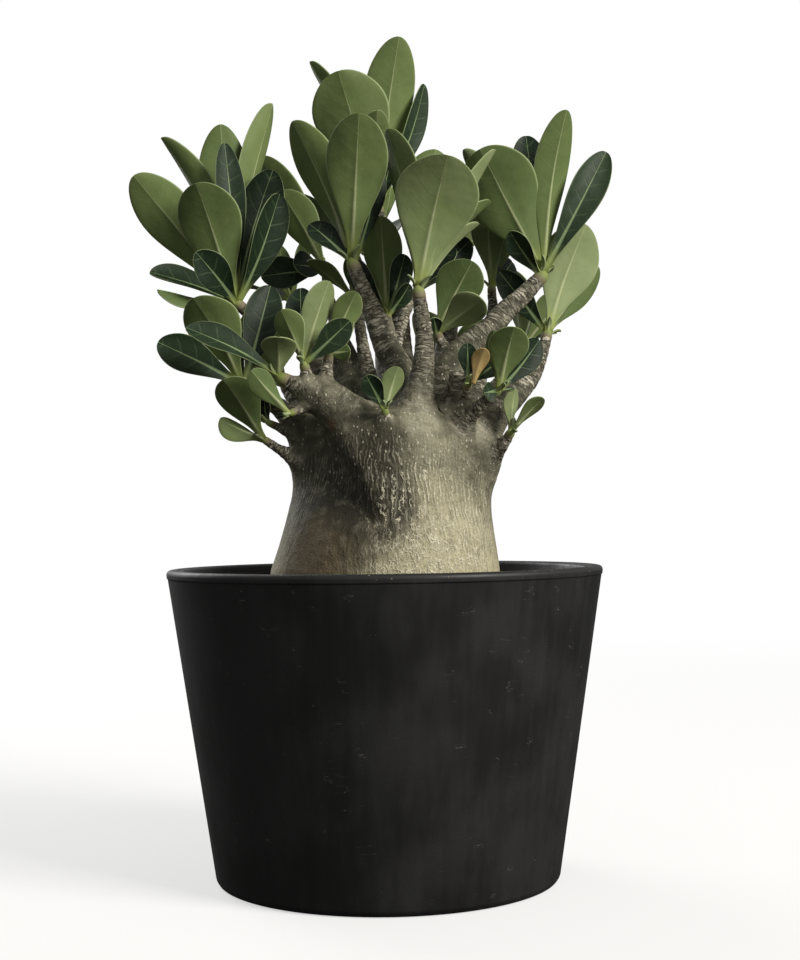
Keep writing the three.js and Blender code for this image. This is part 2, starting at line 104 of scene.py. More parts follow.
# Branches: x, y, z and radius at each point, from inside the stem to the tip
BRANCHES = {
    "far_left": [
        [-8, 14, 204, 16], [-15, 21, 232, 7.5], [-23, 24, 250, 5], [-42, 20, 256, 4],
        [-58, 13, 259, 3.1], [-66, 10, 265, 2.7],
    ],
    "back_left": [[-18, 22, 242, 4], [-25, 34, 271, 2.5], [-27, 38, 284, 2.2]],
    "left": [
        [-26, -3, 188, 13], [-35, -7, 202, 7.5], [-45, -12, 214, 4.6], [-53, -15, 220, 3.7],
        [-60, -16, 224, 3],
    ],
    "low_left": [[-36, -10, 190, 4.4], [-46, -16, 196, 2.1], [-52, -20, 200, 1.8]],
    "twig_left": [[-33, -8, 206, 4], [-43, -14, 205, 2], [-50, -18, 208, 1.6]],
    "front_left": [
        [-4, -14, 196, 17], [-17, -25, 211, 10.5], [-27, -30, 220, 7.2], [-36, -32, 223, 4.6],
        [-42, -33, 226, 3.2],
    ],
    "front_left_low": [[-33, -29, 218, 4], [-37, -33, 213.5, 2], [-39, -34.5, 212.5, 1.7]],
    "front_left_b": [[-30, -30, 219, 4], [-33, -33, 227, 2.6], [-34, -34, 231, 2.3]],
    "front_left_c": [[-24, -28, 217, 5], [-25, -31, 227, 2.8], [-24, -31, 236, 2.3]],
    "centre_left": [
        [6, -9, 204, 16], [8, -9, 222, 9], [7, -8, 234, 6.6], [1, -6, 246, 5.8],
        [-4, -5, 260, 4.6], [-8, -5, 270, 3.7], [-12, -5, 280, 3.2],
    ],
    "behind_centre": [[-4, 11, 212, 6], [-9, 16, 246, 2.9], [-12, 22, 267, 2.6]],
    "low_centre": [[2, -5, 241, 3.8], [4, -3, 250, 2], [3, -2, 257, 1.8]],
    "top": [
        [6, 13, 204, 14], [8, 20, 228, 7.4], [9, 27, 250, 5.2], [7, 32, 275, 4.4],
        [1, 36, 299, 3.8], [-1, 37, 314, 3],
    ],
    "front": [
        [11, -18, 196, 16], [13, -25, 210, 9], [16, -27, 221, 6.4], [18, -27, 230, 5.2],
        [19, -26, 243, 4.2], [18, -25, 255, 3.5], [17, -25, 264, 3],
    ],
    "inner": [[8, 2, 212, 6.5], [6, 6, 240, 2.8], [10, 10, 258, 2.6], [14, 14, 268, 2.4]],
    "right": [
        [25, -5, 200, 18], [28, -6, 217, 11], [31, -4, 234, 8.2], [41, -2, 245, 6],
        [50, 0, 252, 5.5], [57, 2, 260, 5], [65, 4, 267, 4.4], [73, 5, 275, 3.4],
    ],
    "low_right": [
        [38, -11, 190, 14], [46, -14, 203, 7.6], [53.3, -14, 213.3, 6.4], [60.7, -11, 220.7, 5.4],
        [68.4, -6, 228.3, 3.8], [73, -1, 236.9, 2.9], [76.4, 3, 247.6, 2.6],
    ],
    "front_right": [[30, -22, 196, 7], [35, -27, 207, 4.4], [42, -32, 213, 3.2], [49, -37, 219, 2.1]],
    "cut_stump": [[32, -16, 205, 7], [33, -24, 222, 4.1], [34, -27, 230, 3.7]],
    "stump_shoot": [[33, -21, 212, 4], [37, -30, 218, 2.2], [37.5, -34.5, 222.5, 1.9]],
    "far_right": [[46, -16, 189, 5], [54, -25, 198, 2.6], [56, -27, 201, 2.1]],
    "back_right": [[38, 10, 204, 7], [49, 20, 246, 3], [53, 24, 263, 2.5], [53, 25, 273, 2.1]],
    "mid_right": [[32, 0, 230, 4.8], [30, 5, 242, 2.8], [27, 8, 249, 2.2]],
    "basal": [[2, -32, 200, 5], [1, -39, 207, 2.4], [1, -41, 210, 1.9]],
    "rear_left": [[-12, 20, 198, 16], [-26, 38, 226, 7.5], [-37, 53, 252, 4.8], [-44, 61, 272, 3]],
    "rear": [[5, 24, 198, 16], [4, 44, 232, 7.5], [1, 62, 264, 4.8], [-2, 72, 292, 3]],
    "rear_right": [[20, 22, 198, 15], [28, 40, 230, 7], [33, 54, 258, 4.8], [35, 63, 284, 3.2]],
    "rear_low_right": [[32, 18, 194, 14], [48, 34, 216, 7], [62, 47, 234, 4.6], [69, 54, 247, 3]],
    "rear_low_left": [[-22, 22, 192, 13], [-37, 42, 214, 5.6], [-47, 54, 229, 3]],
    "rear_low": [[20, 30, 190, 13], [30, 54, 212, 5.6], [35, 68, 229, 3]],
}

# Leaves whose pose is known: tip x, y, z, width, side turned to the front ("u" underside,
# "a" upper side), turn about the leaf's own length in degrees, bow, fold in degrees
LEAVES = {
    "far_left": [
        [-84, -12, 319, 30, "u", -8, 0.06, 10],
        [-114, -2, 325, 26, "u", -12, 0.06, 12],
        [-105, 22, 348, 20, "u", -58, 0.08, 30],
        [-76.5, 28, 356, 26, "u", 8, 0.05, 10],
        [-73, 12, 343, 15, "a", 20, 0.05, 16],
        [-53, 38, 368, 20, "u", 58, 0.04, 20],
        [-51, 22, 332, 24, "a", 22, -0.1, 14],
        [-47, 4, 317, 20, "a", 42, 0.06, 16],
        [-84, -14, 287, 17, "a", 10, 0.06, 16],
        [-108, 4, 280.5, 18, "a", 50, 0.05, 24],
        [-103, -6, 271, 14, "u", 62, 0.04, 24],
    ],
    "left": [
        [-83.5, -30, 264, 26, "u", -18, 0.12, 10],
        [-101, -20, 245.5, 18, "a", 14, 0.06, 14],
        [-51, -8, 272, 18, "a", 10, 0.05, 14],
        [-78, 12, 258, 18, "a", 20, 0.06, 14],
    ],
    "low_left": [
        [-70, -35, 227, 21, "u", -20, 0.06, 12],
        [-73, -26, 210, 14, "u", 40, 0.06, 24],
    ],
    "twig_left": [
        [-64, -21.5, 226, 10, "a", 0, 0.05, 16],
        [-53, -24, 219, 7, "a", -30, 0.05, 16],
    ],
    "front_left": [
        [-45, -48, 244, 16, "u", 0, 0.1, 10],
        [-86, -38, 250, 17, "a", 46, 0.05, 20],
    ],
    "front_left_low": [[-57, -46, 230, 12, "u", 12, 0.06, 14]],
    "front_left_b": [
        [-44, -40, 257, 14, "u", -20, 0.06, 12],
        [-23, -36, 270, 16, "u", 34, 0.05, 14],
        [-14, -38, 252, 13, "a", 10, 0.05, 14],
        [-36.5, -22, 269, 14, "a", -6, 0.05, 14],
    ],
    "front_left_c": [
        [-11, -36, 265, 13, "u", 10, 0.06, 14],
        [-14, -30, 255, 9, "u", -30, 0.05, 14],
        [-14, -34, 239, 8, "u", 0, 0.05, 12],
    ],
    "centre_left": [
        [-9, -22, 348, 29, "u", 0, 0.05, 10],
        [-40.5, 0, 350, 23, "u", -36, 0.06, 14],
        [-33, 3, 302, 13, "a", 20, 0.05, 16],
        [-1, 9, 336, 15, "a", 56, 0.05, 18],
    ],
    "back_left": [
        [-48.5, 42, 326, 20, "u", -20, 0.06, 12],
        [-60, 52, 345, 20, "u", -40, 0.05, 16],
        [-58, 30, 282, 17, "a", 10, 0.06, 14],
        [-42, 26, 287, 16, "a", 30, 0.06, 14],
    ],
    "top": [
        [-19.3, 20, 379, 38, "u", -6, 0.06, 9],
        [10, 30, 398, 26, "u", 12, 0.05, 14],
        [23, 46, 379, 15, "a", 48, 0.05, 14],
        [-33, 46, 391, 16, "u", -60, 0.05, 20],
        [-1, 8, 357, 16, "u", 20, 0.05, 16],
        [5, 24, 336, 7, "a", 30, 0.03, 10],
    ],
    "front": [
        [30, -42, 324, 38, "u", 8, 0.07, 9],
        [3, -12, 343, 22, "u", -50, 0.06, 14],
        [26, -6, 335, 30, "u", 10, 0.06, 10],
        [51, -9, 309.6, 15, "u", 74, 0.05, 20],
        [45, -12, 299, 13, "u", 76, 0.05, 20],
        [52.5, -24, 330, 14, "u", 68, 0.03, 20],
    ],
    "inner": [
        [35, 20, 294, 13, "a", -20, 0.05, 14],
        [43, 26, 298, 15, "a", 10, 0.05, 14],
    ],
    "low_centre": [
        [0, 4, 306, 19, "u", 0, 0.05, 12],
        [-13, 9, 286, 13, "a", -30, 0.05, 16],
        [11, 5, 288, 12, "a", 20, 0.05, 14],
        [13, -4, 273, 10, "a", 40, 0.05, 14],
    ],
    "right": [
        [46, -12, 333.5, 37, "u", -8, 0.09, 12],
        [40, 8, 338, 15, "u", -40, 0.05, 18],
        [86.5, -4, 353, 20, "u", 24, 0.05, 18],
        [70, 20, 347, 20, "a", 0, 0.05, 14],
        [107, 10, 336.5, 17.5, "a", 4, 0.04, 14],
        [60, -2, 297, 12, "a", -30, 0.05, 14],
        [70, 36, 326, 20, "a", 0, 0.06, 14],
    ],
    "low_right": [
        [97.4, 16, 303, 29, "u", 14, 0.06, 9],
        [104.6, 24, 284, 17, "u", 20, 0.06, 14],
        [56, 15, 281, 14, "a", -10, -0.1, 10],
        [88, 34, 278, 15, "a", 10, 0.08, 14],
    ],
    "front_right": [
        [57.5, -50, 247, 18, "u", 8, 0.07, 10],
        [49, -38, 247, 11, "u", -30, 0.05, 14],
        [44, -44, 219, 9, "a", 0, 0.05, 12],
        [70, -30, 243.5, 14, "a", 30, 0.06, 14],
    ],
    "stump_shoot": [
        [37.5, -39.5, 241.5, 9, "a", 0, 0.05, 12],
        [54, -24, 237, 10, "a", 30, 0.05, 12],
    ],
    "far_right": [
        [71, -36, 217, 8, "u", 30, 0.06, 12],
        [59, -29, 222, 9, "u", 40, 0.06, 14],
    ],
    "back_right": [
        [51, 22, 315, 17, "u", 0, 0.05, 12],
        [63, 30, 311, 16, "u", 20, 0.05, 12],
        [64, 37, 289, 12, "a", 20, 0.05, 12],
    ],
    "mid_right": [
        [42.5, 1, 284, 23, "u", 14, 0.06, 10],
        [46.3, -7, 265, 18, "u", 22, 0.06, 12],
        [24, 2, 258, 7, "a", 0, 0.05, 12],
    ],
    "basal": [
        [-7, -48, 227, 10, "a", -10, 0.06, 12],
        [7, -44, 231, 10, "u", 20, 0.06, 12],
    ],
}

# Whorls on the far side: number of leaves, first azimuth in degrees, length, width
WHORLS = {
    "behind_centre": [4, 150, 28, 13],
    "rear_left": [5, 300, 46, 22],
    "rear": [7, 80, 64, 25],
    "rear_right": [6, 140, 56, 24],
    "rear_low_right": [5, 40, 42, 21],
    "rear_low_left": [5, 70, 44, 21],
    "rear_low": [5, 30, 46, 22],
}
GOLDEN_ANGLE = 137.5
# A whorl's inner leaves lean out by this many degrees, and its outer ones by the spread more
WHORL_LEAN = 10
WHORL_LEAN_SPREAD = 38
WHORL_BOW = 0.07
WHORL_FOLD = 14

# The dying leaf on the shoot beside the cut stump
YELLOW_LEAF_BASE = (39.9, -38.5, 223.5)
YELLOW_LEAF_TIP = (44.7, -45.2, 238.5)

# Stem and branches: the grid that grows them together, how far forks are rounded close to the
# stem and away from it, the reach of the stem's rounding, and the pitch of the leaf scars
STEM_SIDES = 120
BRANCH_SIDES = 24
WOOD_GRAIN = 0.95
TRUNK_BLEND = 3.6
BRANCH_BLEND = 1.2
BLEND_REACH = 11
RING_PITCH = 1.5
CUT_BRANCH = "cut_stump"

# Growing tip
TIP_ROWS = 14
TIP_SIDES = 20

# Leaf blade
LEAF_ROWS = 28
YOUNG_LEAF_ROWS = 12
LEAF_WIDEST = 1.9
LEAF_FULLNESS = 0.73
TIP_ROUNDING = 0.23
PETIOLE_WIDTH = 1.2
PETIOLE_SHARE = 0.11
BLADE_THICKNESS = 0.65
PETIOLE_THICKNESS = 2.0
MARGIN_WAVE = 0.04
RIB_HEIGHT = 0.95
RIB_HALF_WIDTH = 1.1
# Places across a blade from the left margin (-1) to the rib (0), closer at both
ACROSS = np.array([-0.985, -0.93, -0.82, -0.66, -0.46, -0.27, -0.13, -0.05, 0])

# Lamps: place and target in metres, side in metres, power in watts, sRGB colour
LAMPS = {
    "high lamp": ((1.85, -1.5, 1.5), (0, 0, 0.2), 1.1, 84, "#fffcf6"),
    "back glow": ((-0.9, 1.2, 0.8), (0, 0, 0.25), 1.0, 14, "#ffffff"),
}

# Floor: radii in metres of its rings
FLOOR_RINGS = [0.0, 0.3, 0.6, 1.0, 2.0, 6.0, 30.0]
FLOOR_SIDES = 96

# Camera: place in metres, turns in radians, and the focal length in pixels of the picture
CAMERA_PLACE = (0, -0.747, 0.1652)
CAMERA_YAW = 0.0101
CAMERA_PITCH = 0.0232
CAMERA_ROLL = -0.0127
FOCAL_PIXELS = 1614.5
PICTURE_HEIGHT = 960
SENSOR = 36


def draw(a, b):
    """A repeatable draw between 0 and 1 from two numbers."""
    s = np.sin(a * 127.1 + b * 311.7) * 43758.5453
    return s - np.floor(s)


def smoothstep(x, low, high):
    """0 below low, 1 above high, and an S between them."""
    part = np.clip((x - low) / (high - low), 0, 1)
    return part * part * (3 - 2 * part)


def unit(v):
    """A vector, or each row of an array of them, at length 1."""
    return v / np.maximum(np.linalg.norm(v, axis=-1, keepdims=True), 1e-9)


def vec(*v):
    """Numbers as an array."""
    return np.array(v, dtype=float)


# Meshes

def shell(rings, **facts):
    """A closed skin over rings[i, k] with a fan of faces across each end, facing outwards.
    facts hold numbers for each point of the grid, which go along with it."""
    rows, columns = rings.shape[:2]

    def with_ends(values):
        values = values.reshape(rows, columns, -1)
        ends = [values[0].mean(axis=0), values[-1].mean(axis=0)]
        return np.concatenate([values.reshape(rows * columns, -1), ends])

    points = with_ends(rings)
    i, k = np.meshgrid(np.arange(rows - 1), np.arange(columns), indexing="ij")
    here = i * columns + k
    beside = i * columns + (k + 1) % columns
    quads = np.stack([here, beside, beside + columns, here + columns], axis=-1).reshape(-1, 4)
    k = np.arange(columns)
    beyond = (k + 1) % columns
    last = (rows - 1) * columns
    first_fan = np.stack([np.full(columns, rows * columns), beyond, k], axis=-1)
    last_fan = np.stack([np.full(columns, rows * columns + 1), last + k, last + beyond], axis=-1)
    triangles = np.concatenate([first_fan, last_fan])
    a, b, c, d = (points[quads[:, j]] for j in range(4))
    volume = np.einsum("ij,ij->", a, np.cross(b, c) + np.cross(c, d))
    if volume < 0:
        quads = quads[:, ::-1]
        triangles = triangles[:, ::-1]
    return {
        "points": points,
        "quads": quads,
        "triangles": triangles,
        "facts": {key: with_ends(value) for key, value in facts.items()},
    }


def joined(shells):
    """Several shells as one set of points and faces."""
    offsets = np.cumsum([0] + [len(s["points"]) for s in shells[:-1]])
    return {
        "points": np.concatenate([s["points"] for s in shells]),
        "quads": np.concatenate([s["quads"] + at for s, at in zip(shells, offsets)]),
        "triangles": np.concatenate([s["triangles"] + at for s, at in zip(shells, offsets)]),
        "facts": {
            key: np.concatenate([s["facts"][key] for s in shells]) for key in shells[0]["facts"]
        },
    }


def object_of(name, shape):
    """A shape in millimetres as a smooth mesh object in metres, its facts as attributes."""
    mesh = bpy.data.meshes.new(name)
    quads, triangles = shape["quads"], shape["triangles"]
    corners = np.concatenate([quads.ravel(), triangles.ravel()]).astype(np.int32)
    sizes = np.concatenate([np.full(len(quads), 4), np.full(len(triangles), 3)])
    starts = np.concatenate([[0], np.cumsum(sizes)[:-1]]).astype(np.int32)
    mesh.vertices.add(len(shape["points"]))
    mesh.vertices.foreach_set("co", (shape["points"] * MM).astype(np.float32).ravel())
    mesh.loops.add(len(corners))
    mesh.loops.foreach_set("vertex_index", corners)
    mesh.polygons.add(len(sizes))
    mesh.polygons.foreach_set("loop_start", starts)
    mesh.update(calc_edges=True)
    mesh.shade_smooth()
    for key, value in shape["facts"].items():
        attribute = mesh.attributes.new(key, "FLOAT_VECTOR", "POINT")
        attribute.data.foreach_set("vector", value.astype(np.float32).ravel())
    made = bpy.data.objects.new(name, mesh)
    bpy.context.scene.collection.objects.link(made)
    return made


def mesh_through(made):
    """The object's mesh as its modifiers leave it."""
    graph = bpy.context.evaluated_depsgraph_get()
    return bpy.data.meshes.new_from_object(made.evaluated_get(graph))


def discard(made):
    """Removes an object and its mesh."""
    mesh = made.data
    bpy.data.objects.remove(made)
    bpy.data.meshes.remove(mesh)


def placed(made, material, slot_name, *nodes):
    """A finished piece: its material, hung under the part's root, and the plain solids that it
    replaces, hidden. Its part of the part, slot_name, is not used.
    """
    made.data.materials.clear()
    made.data.materials.append(material)
    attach(made, "root")
    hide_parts(*nodes)


def turned(profile, sides):
    """A profile of radius and height carried round the Z axis."""
    profile = np.array(profile, dtype=float)
    angle = 2 * np.pi * np.arange(sides) / sides
    radius = profile[:, :1]
    x = radius * np.cos(angle)
    y = radius * np.sin(angle)
    z = np.repeat(profile[:, 1:], sides, axis=1)
    return np.stack([x, y, z], axis=-1)


def rounded(profile, reach, steps=5):
    """A profile with each corner replaced by an arc-like curve that begins reach away from it:
    at each corner the two tangent points and the corner weigh in as a quadratic curve."""
    profile = [vec(*p) for p in profile]
    made = [profile[0]]
    part = np.linspace(0, 1, steps)[:, None]
    for before, corner, after in zip(profile[:-2], profile[1:-1], profile[2:]):
        cut = min(reach, 0.45 * np.linalg.norm(before - corner), 0.45 * np.linalg.norm(after - corner))
        start = corner + unit(before - corner) * cut
        end = corner + unit(after - corner) * cut
        made.extend(start * (1 - part) ** 2 + corner * 2 * part * (1 - part) + end * part**2)
    made.append(profile[-1])
    return np.array(made)


# Pot and potting mix

def pot_wall_radius(z):
    """The wall's outer radius at height z, along a straight taper."""
    return POT_BASE_RADIUS + (POT_RIM_RADIUS - POT_BASE_RADIUS) * z / POT_HEIGHT


def cavity_radius(z):
    """The cavity's radius at height z, along a straight taper."""
    slope = (CAVITY_TOP_RADIUS - CAVITY_FOOT_RADIUS) / (CAVITY_TOP - CAVITY_FOOT)
    return CAVITY_FOOT_RADIUS + slope * (z - CAVITY_FOOT)


def pot_shape():
    """The pot's wall, band, rim and cavity as one profile round the axis. A shallow step runs
    round the flat of the rim, as the mould's parting leaves it."""
    band = POT_HEIGHT - RIM_BAND_HEIGHT
    profile = rounded([
        (0.5, 0),
        (POT_BASE_RADIUS - 2.6, 0),
        (POT_BASE_RADIUS - 0.8, 0.7),
        (pot_wall_radius(2.6), 2.6),
        (pot_wall_radius(40), 40),
        (pot_wall_radius(90), 90),
        (pot_wall_radius(band), band),
        (pot_wall_radius(band) + RIM_BAND_PROUD, band + 0.4),
        (POT_RIM_RADIUS, POT_HEIGHT - 1.6),
        (POT_RIM_RADIUS - 0.5, POT_HEIGHT - 0.5),
        (POT_RIM_RADIUS - 1.7, POT_HEIGHT),
        (POT_RIM_RADIUS - 5, POT_HEIGHT),
        (POT_RIM_RADIUS - 5.3, POT_HEIGHT - 0.3),
        (RIM_INNER_RADIUS + 1, POT_HEIGHT - 0.3),
        (RIM_INNER_RADIUS, POT_HEIGHT - 1.1),
        (CAVITY_TOP_RADIUS, CAVITY_TOP),
        (CAVITY_FOOT_RADIUS, CAVITY_FOOT),
        (CAVITY_FOOT_RADIUS - 3, POT_FLOOR),
        (0.5, POT_FLOOR),
    ], 0.7)
    return shell(turned(profile, POT_SIDES))


def drilled(made):
    """The pot with its drain holes cut through the floor."""
    name = made.name
    drills = []
    for i in range(DRAIN_HOLES):
        angle = math.radians(45 + 360 / DRAIN_HOLES * i)
        centre = vec(math.cos(angle), math.sin(angle), 0) * DRAIN_CIRCLE_RADIUS
        profile = [(DRAIN_HOLE_RADIUS, -4), (DRAIN_HOLE_RADIUS, 8)]
        drills.append(shell(turned(profile, 40) + centre))
    cutter = object_of("drills", joined(drills))
    cut = made.modifiers.new("drain holes", "BOOLEAN")
    cut.operation = "DIFFERENCE"
    cut.solver = "EXACT"
    cut.object = cutter
    mesh = mesh_through(made)
    discard(made)
    discard(cutter)
    made = bpy.data.objects.new(name, mesh)
    bpy.context.scene.collection.objects.link(made)
    return made


def soil_shape():
    """The mix as a profile round the axis: under it the pot's cavity, in it the buried stem's
    hole, and on top a surface that swells and dips by a millimetre."""
    gap = NEIGHBOUR_GAP
    buried = [(r + gap, z) for z, x, r in STEM_PROFILE if z < SOIL_LEVEL][::-1]
    stem_radius = next(r for z, x, r in STEM_PROFILE if z >= SOIL_LEVEL)
    edge = cavity_radius(SOIL_LEVEL - 4) - gap
    top = [(r, SOIL_LEVEL) for r in np.linspace(edge - 3, stem_radius + 1.5, 26)]
    profile = [
        (0.5, POT_FLOOR + gap),
        (CAVITY_FOOT_RADIUS - 3 - gap, POT_FLOOR + gap),
        (CAVITY_FOOT_RADIUS - gap, CAVITY_FOOT + gap),
        (edge, SOIL_LEVEL - 4),
        (edge - 1.2, SOIL_LEVEL - 1.5),
        *top,
        (stem_radius + gap, SOIL_LEVEL - 0.6),
        *buried,
        (buried[-1][0], buried[-1][1] - gap),
        (0.5, buried[-1][1] - gap),
    ]
    rings = turned(profile, SOIL_SIDES)
    x, y, z = rings[..., 0], rings[..., 1], rings[..., 2]
    swell = 0.35 * np.sin(x / 7 + 1.3 * np.sin(y / 9)) + 0.3 * np.sin(y / 5.5 + 1.1 * np.sin(x / 6))
    fine = 0.18 * np.sin(x * 1.9 + 2 * np.sin(y * 0.9)) * np.sin(y * 1.7 + 2 * np.sin(x * 1.1))
    rings[..., 2] = z + (swell + fine) * (z > SOIL_LEVEL - 1)
    return shell(rings)


def grit_shape():
    """Grains of bark, pumice and grit on the mix: the 12 points of an icosahedron, stretched,
    turned and dented at random, one set for each grain. The number 'kind' sorts their colours."""
    golden = (1 + 5**0.5) / 2
    corner = [(-1, golden, 0), (1, golden, 0), (-1, -golden, 0), (1, -golden, 0)]
    corner = np.array(corner, dtype=float)
    corner = np.concatenate([corner, corner[:, [2, 0, 1]], corner[:, [1, 2, 0]]])
    corner = unit(corner)
    apart = np.linalg.norm(corner[:, None] - corner[None], axis=-1)
    near = np.abs(apart - apart[apart > 0.1].min()) < 0.01
    faces = []
    for a in range(12):
        for b in range(a + 1, 12):
            for c in range(b + 1, 12):
                if near[a, b] and near[b, c] and near[a, c]:
                    out = np.dot(corner[a], np.cross(corner[b], corner[c]))
                    faces.append((a, b, c) if out > 0 else (a, c, b))
    rng = np.random.default_rng(7)
    count = GRIT_COUNT
    angle = rng.uniform(0, 2 * np.pi, count)
    radius = np.sqrt(rng.uniform(GRIT_INNER_RADIUS**2, GRIT_OUTER_RADIUS**2, count))
    kind = rng.uniform(0, 1, count)
    size = 0.5 + 1.5 * rng.uniform(0, 1, count) ** 2.2
    stretch = rng.uniform(0.6, 1.5, (count, 1, 3)) * size[:, None, None]
    turns = np.linalg.qr(rng.normal(size=(count, 3, 3)))[0]
    turns = turns * np.sign(np.linalg.det(turns))[:, None, None]
    dents = rng.uniform(0.8, 1.15, (count, 12, 1))
    grains = (corner[None] * dents * stretch) @ turns
    grains[..., 2] *= 0.7
    centre = np.stack([
        radius * np.cos(angle),
        radius * np.sin(angle),
        SOIL_LEVEL + 0.15 + 0.25 * size,
    ], axis=-1)
    points = (grains + centre[:, None]).reshape(-1, 3)
    triangles = (np.array(faces)[None] + 12 * np.arange(count)[:, None, None]).reshape(-1, 3)
    look = np.repeat(np.stack([kind, size, angle], axis=-1), 12, axis=0)
    empty = np.zeros((0, 4), dtype=int)
    return {"points": points, "quads": empty, "triangles": triangles, "facts": {"grain": look}}


# Stem and branches

def branch_place(points, t):
    """The branch's centre at t from 0 to 1: a uniform Catmull-Rom curve through the points."""
    spot = np.array([p[:3] for p in points], dtype=float)
    spot = np.concatenate([[2 * spot[0] - spot[1]], spot, [2 * spot[-1] - spot[-2]]])
    place = np.clip(t, 0, 1) * (len(points) - 1)
    at = np.minimum(place.astype(int), len(points) - 2)
    u = (place - at)[:, None]
    before, start, end, after = (spot[at + j] for j in range(4))
    leave = (end - before) / 2
    arrive = (after - start) / 2
    return (
        start
        + leave * u
        + (3 * (end - start) - 2 * leave - arrive) * u**2
        + (2 * (start - end) + leave + arrive) * u**3
    )


def branch_line(points, steps):
    """Evenly spaced steps along a branch: centre, direction, two directions across that turn
    as little as they can, radius, and length from the start."""
    t = np.arange(steps + 1) / steps
    centre = branch_place(points, t)
    along = unit(branch_place(points, t + 1e-4) - branch_place(points, t - 1e-4))
    radii = np.array([p[3] for p in points], dtype=float)
    radius = np.interp(t * (len(points) - 1), np.arange(len(points)), radii)
    across = np.zeros_like(along)
    held = vec(1, 0, 0)
    for i, direction in enumerate(along):
        held = unit(held - direction * np.dot(held, direction))
        across[i] = held
    length = np.concatenate([[0], np.cumsum(np.linalg.norm(np.diff(centre, axis=0), axis=1))])
    return {
        "centre": centre,
        "along": along,
        "across": across,
        "other": np.cross(along, across),
        "radius": radius,
        "length": length,
    }


def fine_line(points):
    """A branch's line in steps of about 1.5 mm, its taper eased at each given point."""
    rough = branch_line(points, 40)
    line = branch_line(points, max(12, int(rough["length"][-1] / 1.5)))
    eased = line["radius"]
    for _ in range(4):
        eased = np.concatenate([eased[:1], (eased[:-2] + 2 * eased[1:-1] + eased[2:]) / 4, eased[-1:]])
    line["radius"] = eased
    return line


def stem_radius_at(z):
    """The stem's smooth outline: centre in X and radius at height z, through the given points."""
    height, centre, radius = np.array(STEM_PROFILE, dtype=float).T
    return np.interp(z, height, centre), np.interp(z, height, radius)


def stem_heights(count):
    """Heights up the stem's outline, as many between each two of its points."""
    heights = np.array([p[0] for p in STEM_PROFILE], dtype=float)
    return np.interp(np.linspace(0, len(heights) - 1, count), np.arange(len(heights)), heights)


def stem_relief(angle, z):
    """How far the stem stands off its round outline: a broad front lobe, the creases between
    lobes, and slow swellings that are stronger towards the shoulders."""
    offset = 1.6 * smoothstep(z, 136, 160) * np.cos(np.radians(angle - 12)) ** 2
    for at_level, turn, begins, full, depth, left, right in STEM_CREASES:
        away = (angle - at_level - turn * (z - CREASE_LEVEL) + 540) % 360 - 180
        part = away / np.where(away < 0, left, right)
        offset = offset - depth * smoothstep(z, begins, full) * np.exp(-(part**2))
    turn = np.radians(angle)
    slow = np.sin(5 * turn + 0.05 * z + 1.2) + 0.7 * np.sin(9 * turn - 0.09 * z)
    return offset + 0.35 * slow * smoothstep(z, 132, 175)


def stem_rings(heights, sides):
    """Rings round the stem at the given heights."""
    angle = (360 * np.arange(sides) / sides)[None]
    z = heights[:, None]
    centre, radius = stem_radius_at(z)
    reach = radius + stem_relief(angle, z) * radius / RELIEF_RADIUS
    turn = np.radians(angle)
    x = centre + reach * np.sin(turn)
    y = -reach * np.cos(turn)
    return np.stack([x, y, z + 0 * x], axis=-1)


def raw_wood(lines):
    """Stem and branches as overlapping closed skins, grown together on an even grid."""
    skins = [shell(stem_rings(stem_heights(60), STEM_SIDES))]
    angle = 2 * np.pi * np.arange(BRANCH_SIDES) / BRANCH_SIDES
    for line in lines.values():
        round_ = (
            line["across"][:, None] * np.cos(angle)[None, :, None]
            + line["other"][:, None] * np.sin(angle)[None, :, None]
        )
        skins.append(shell(line["centre"][:, None] + line["radius"][:, None, None] * round_))
    made = object_of("raw wood", joined(skins))
    grow = made.modifiers.new("grow together", "REMESH")
    grow.mode = "VOXEL"
    grow.voxel_size = WOOD_GRAIN * MM
    mesh = mesh_through(made)
    discard(made)
    points = np.empty(3 * len(mesh.vertices))
    mesh.vertices.foreach_get("co", points)
    corners = np.empty(len(mesh.loops), dtype=np.int64)
    mesh.loops.foreach_get("vertex_index", corners)
    bpy.data.meshes.remove(mesh)
    return points.reshape(-1, 3) / MM, corners.reshape(-1, 4)


def to_path(points, path):
    """From each point to each step of a path: the foot's place on the step from 0 to 1, the way
    from the foot to the point, and its length."""
    step = np.diff(path, axis=0)
    apart = points[:, None] - path[:-1][None]
    part = np.clip(np.einsum("nsi,si->ns", apart, step) / (step**2).sum(axis=1), 0, 1)
    away = apart - part[..., None] * step
    return part, away, np.sqrt(np.einsum("nsi,nsi->ns", away, away))


def off_line(points, line, cut):
    """Distance of each point from a branch's skin, the way out from its centre line, and four
    facts: the length along it, the cosine and sine round it, and its radius there. A cut branch
    ends at a plane."""
    part, away, far = to_path(points, line["centre"])
    radius = line["radius"][:-1] + part * np.diff(line["radius"])
    nearest = np.argmin(far - radius, axis=1)
    row = np.arange(len(points))
    part = part[row, nearest]
    far = far[row, nearest]
    away = away[row, nearest]
    radius = radius[row, nearest]
    out = away / np.maximum(far, 1e-6)[:, None]
    distance = far - radius
    length = line["length"][nearest] + part * np.diff(line["length"])[nearest]
    cosine = np.einsum("ni,ni->n", out, line["across"][nearest])
    sine = np.einsum("ni,ni->n", out, line["other"][nearest])
    if cut:
        past = (points - line["centre"][-1]) @ line["along"][-1]
        flat = past > distance
        distance = np.where(flat, past, distance)
        out = np.where(flat[:, None], line["along"][-1], out)
    return distance, out, np.stack([length, cosine, sine, radius], axis=1)


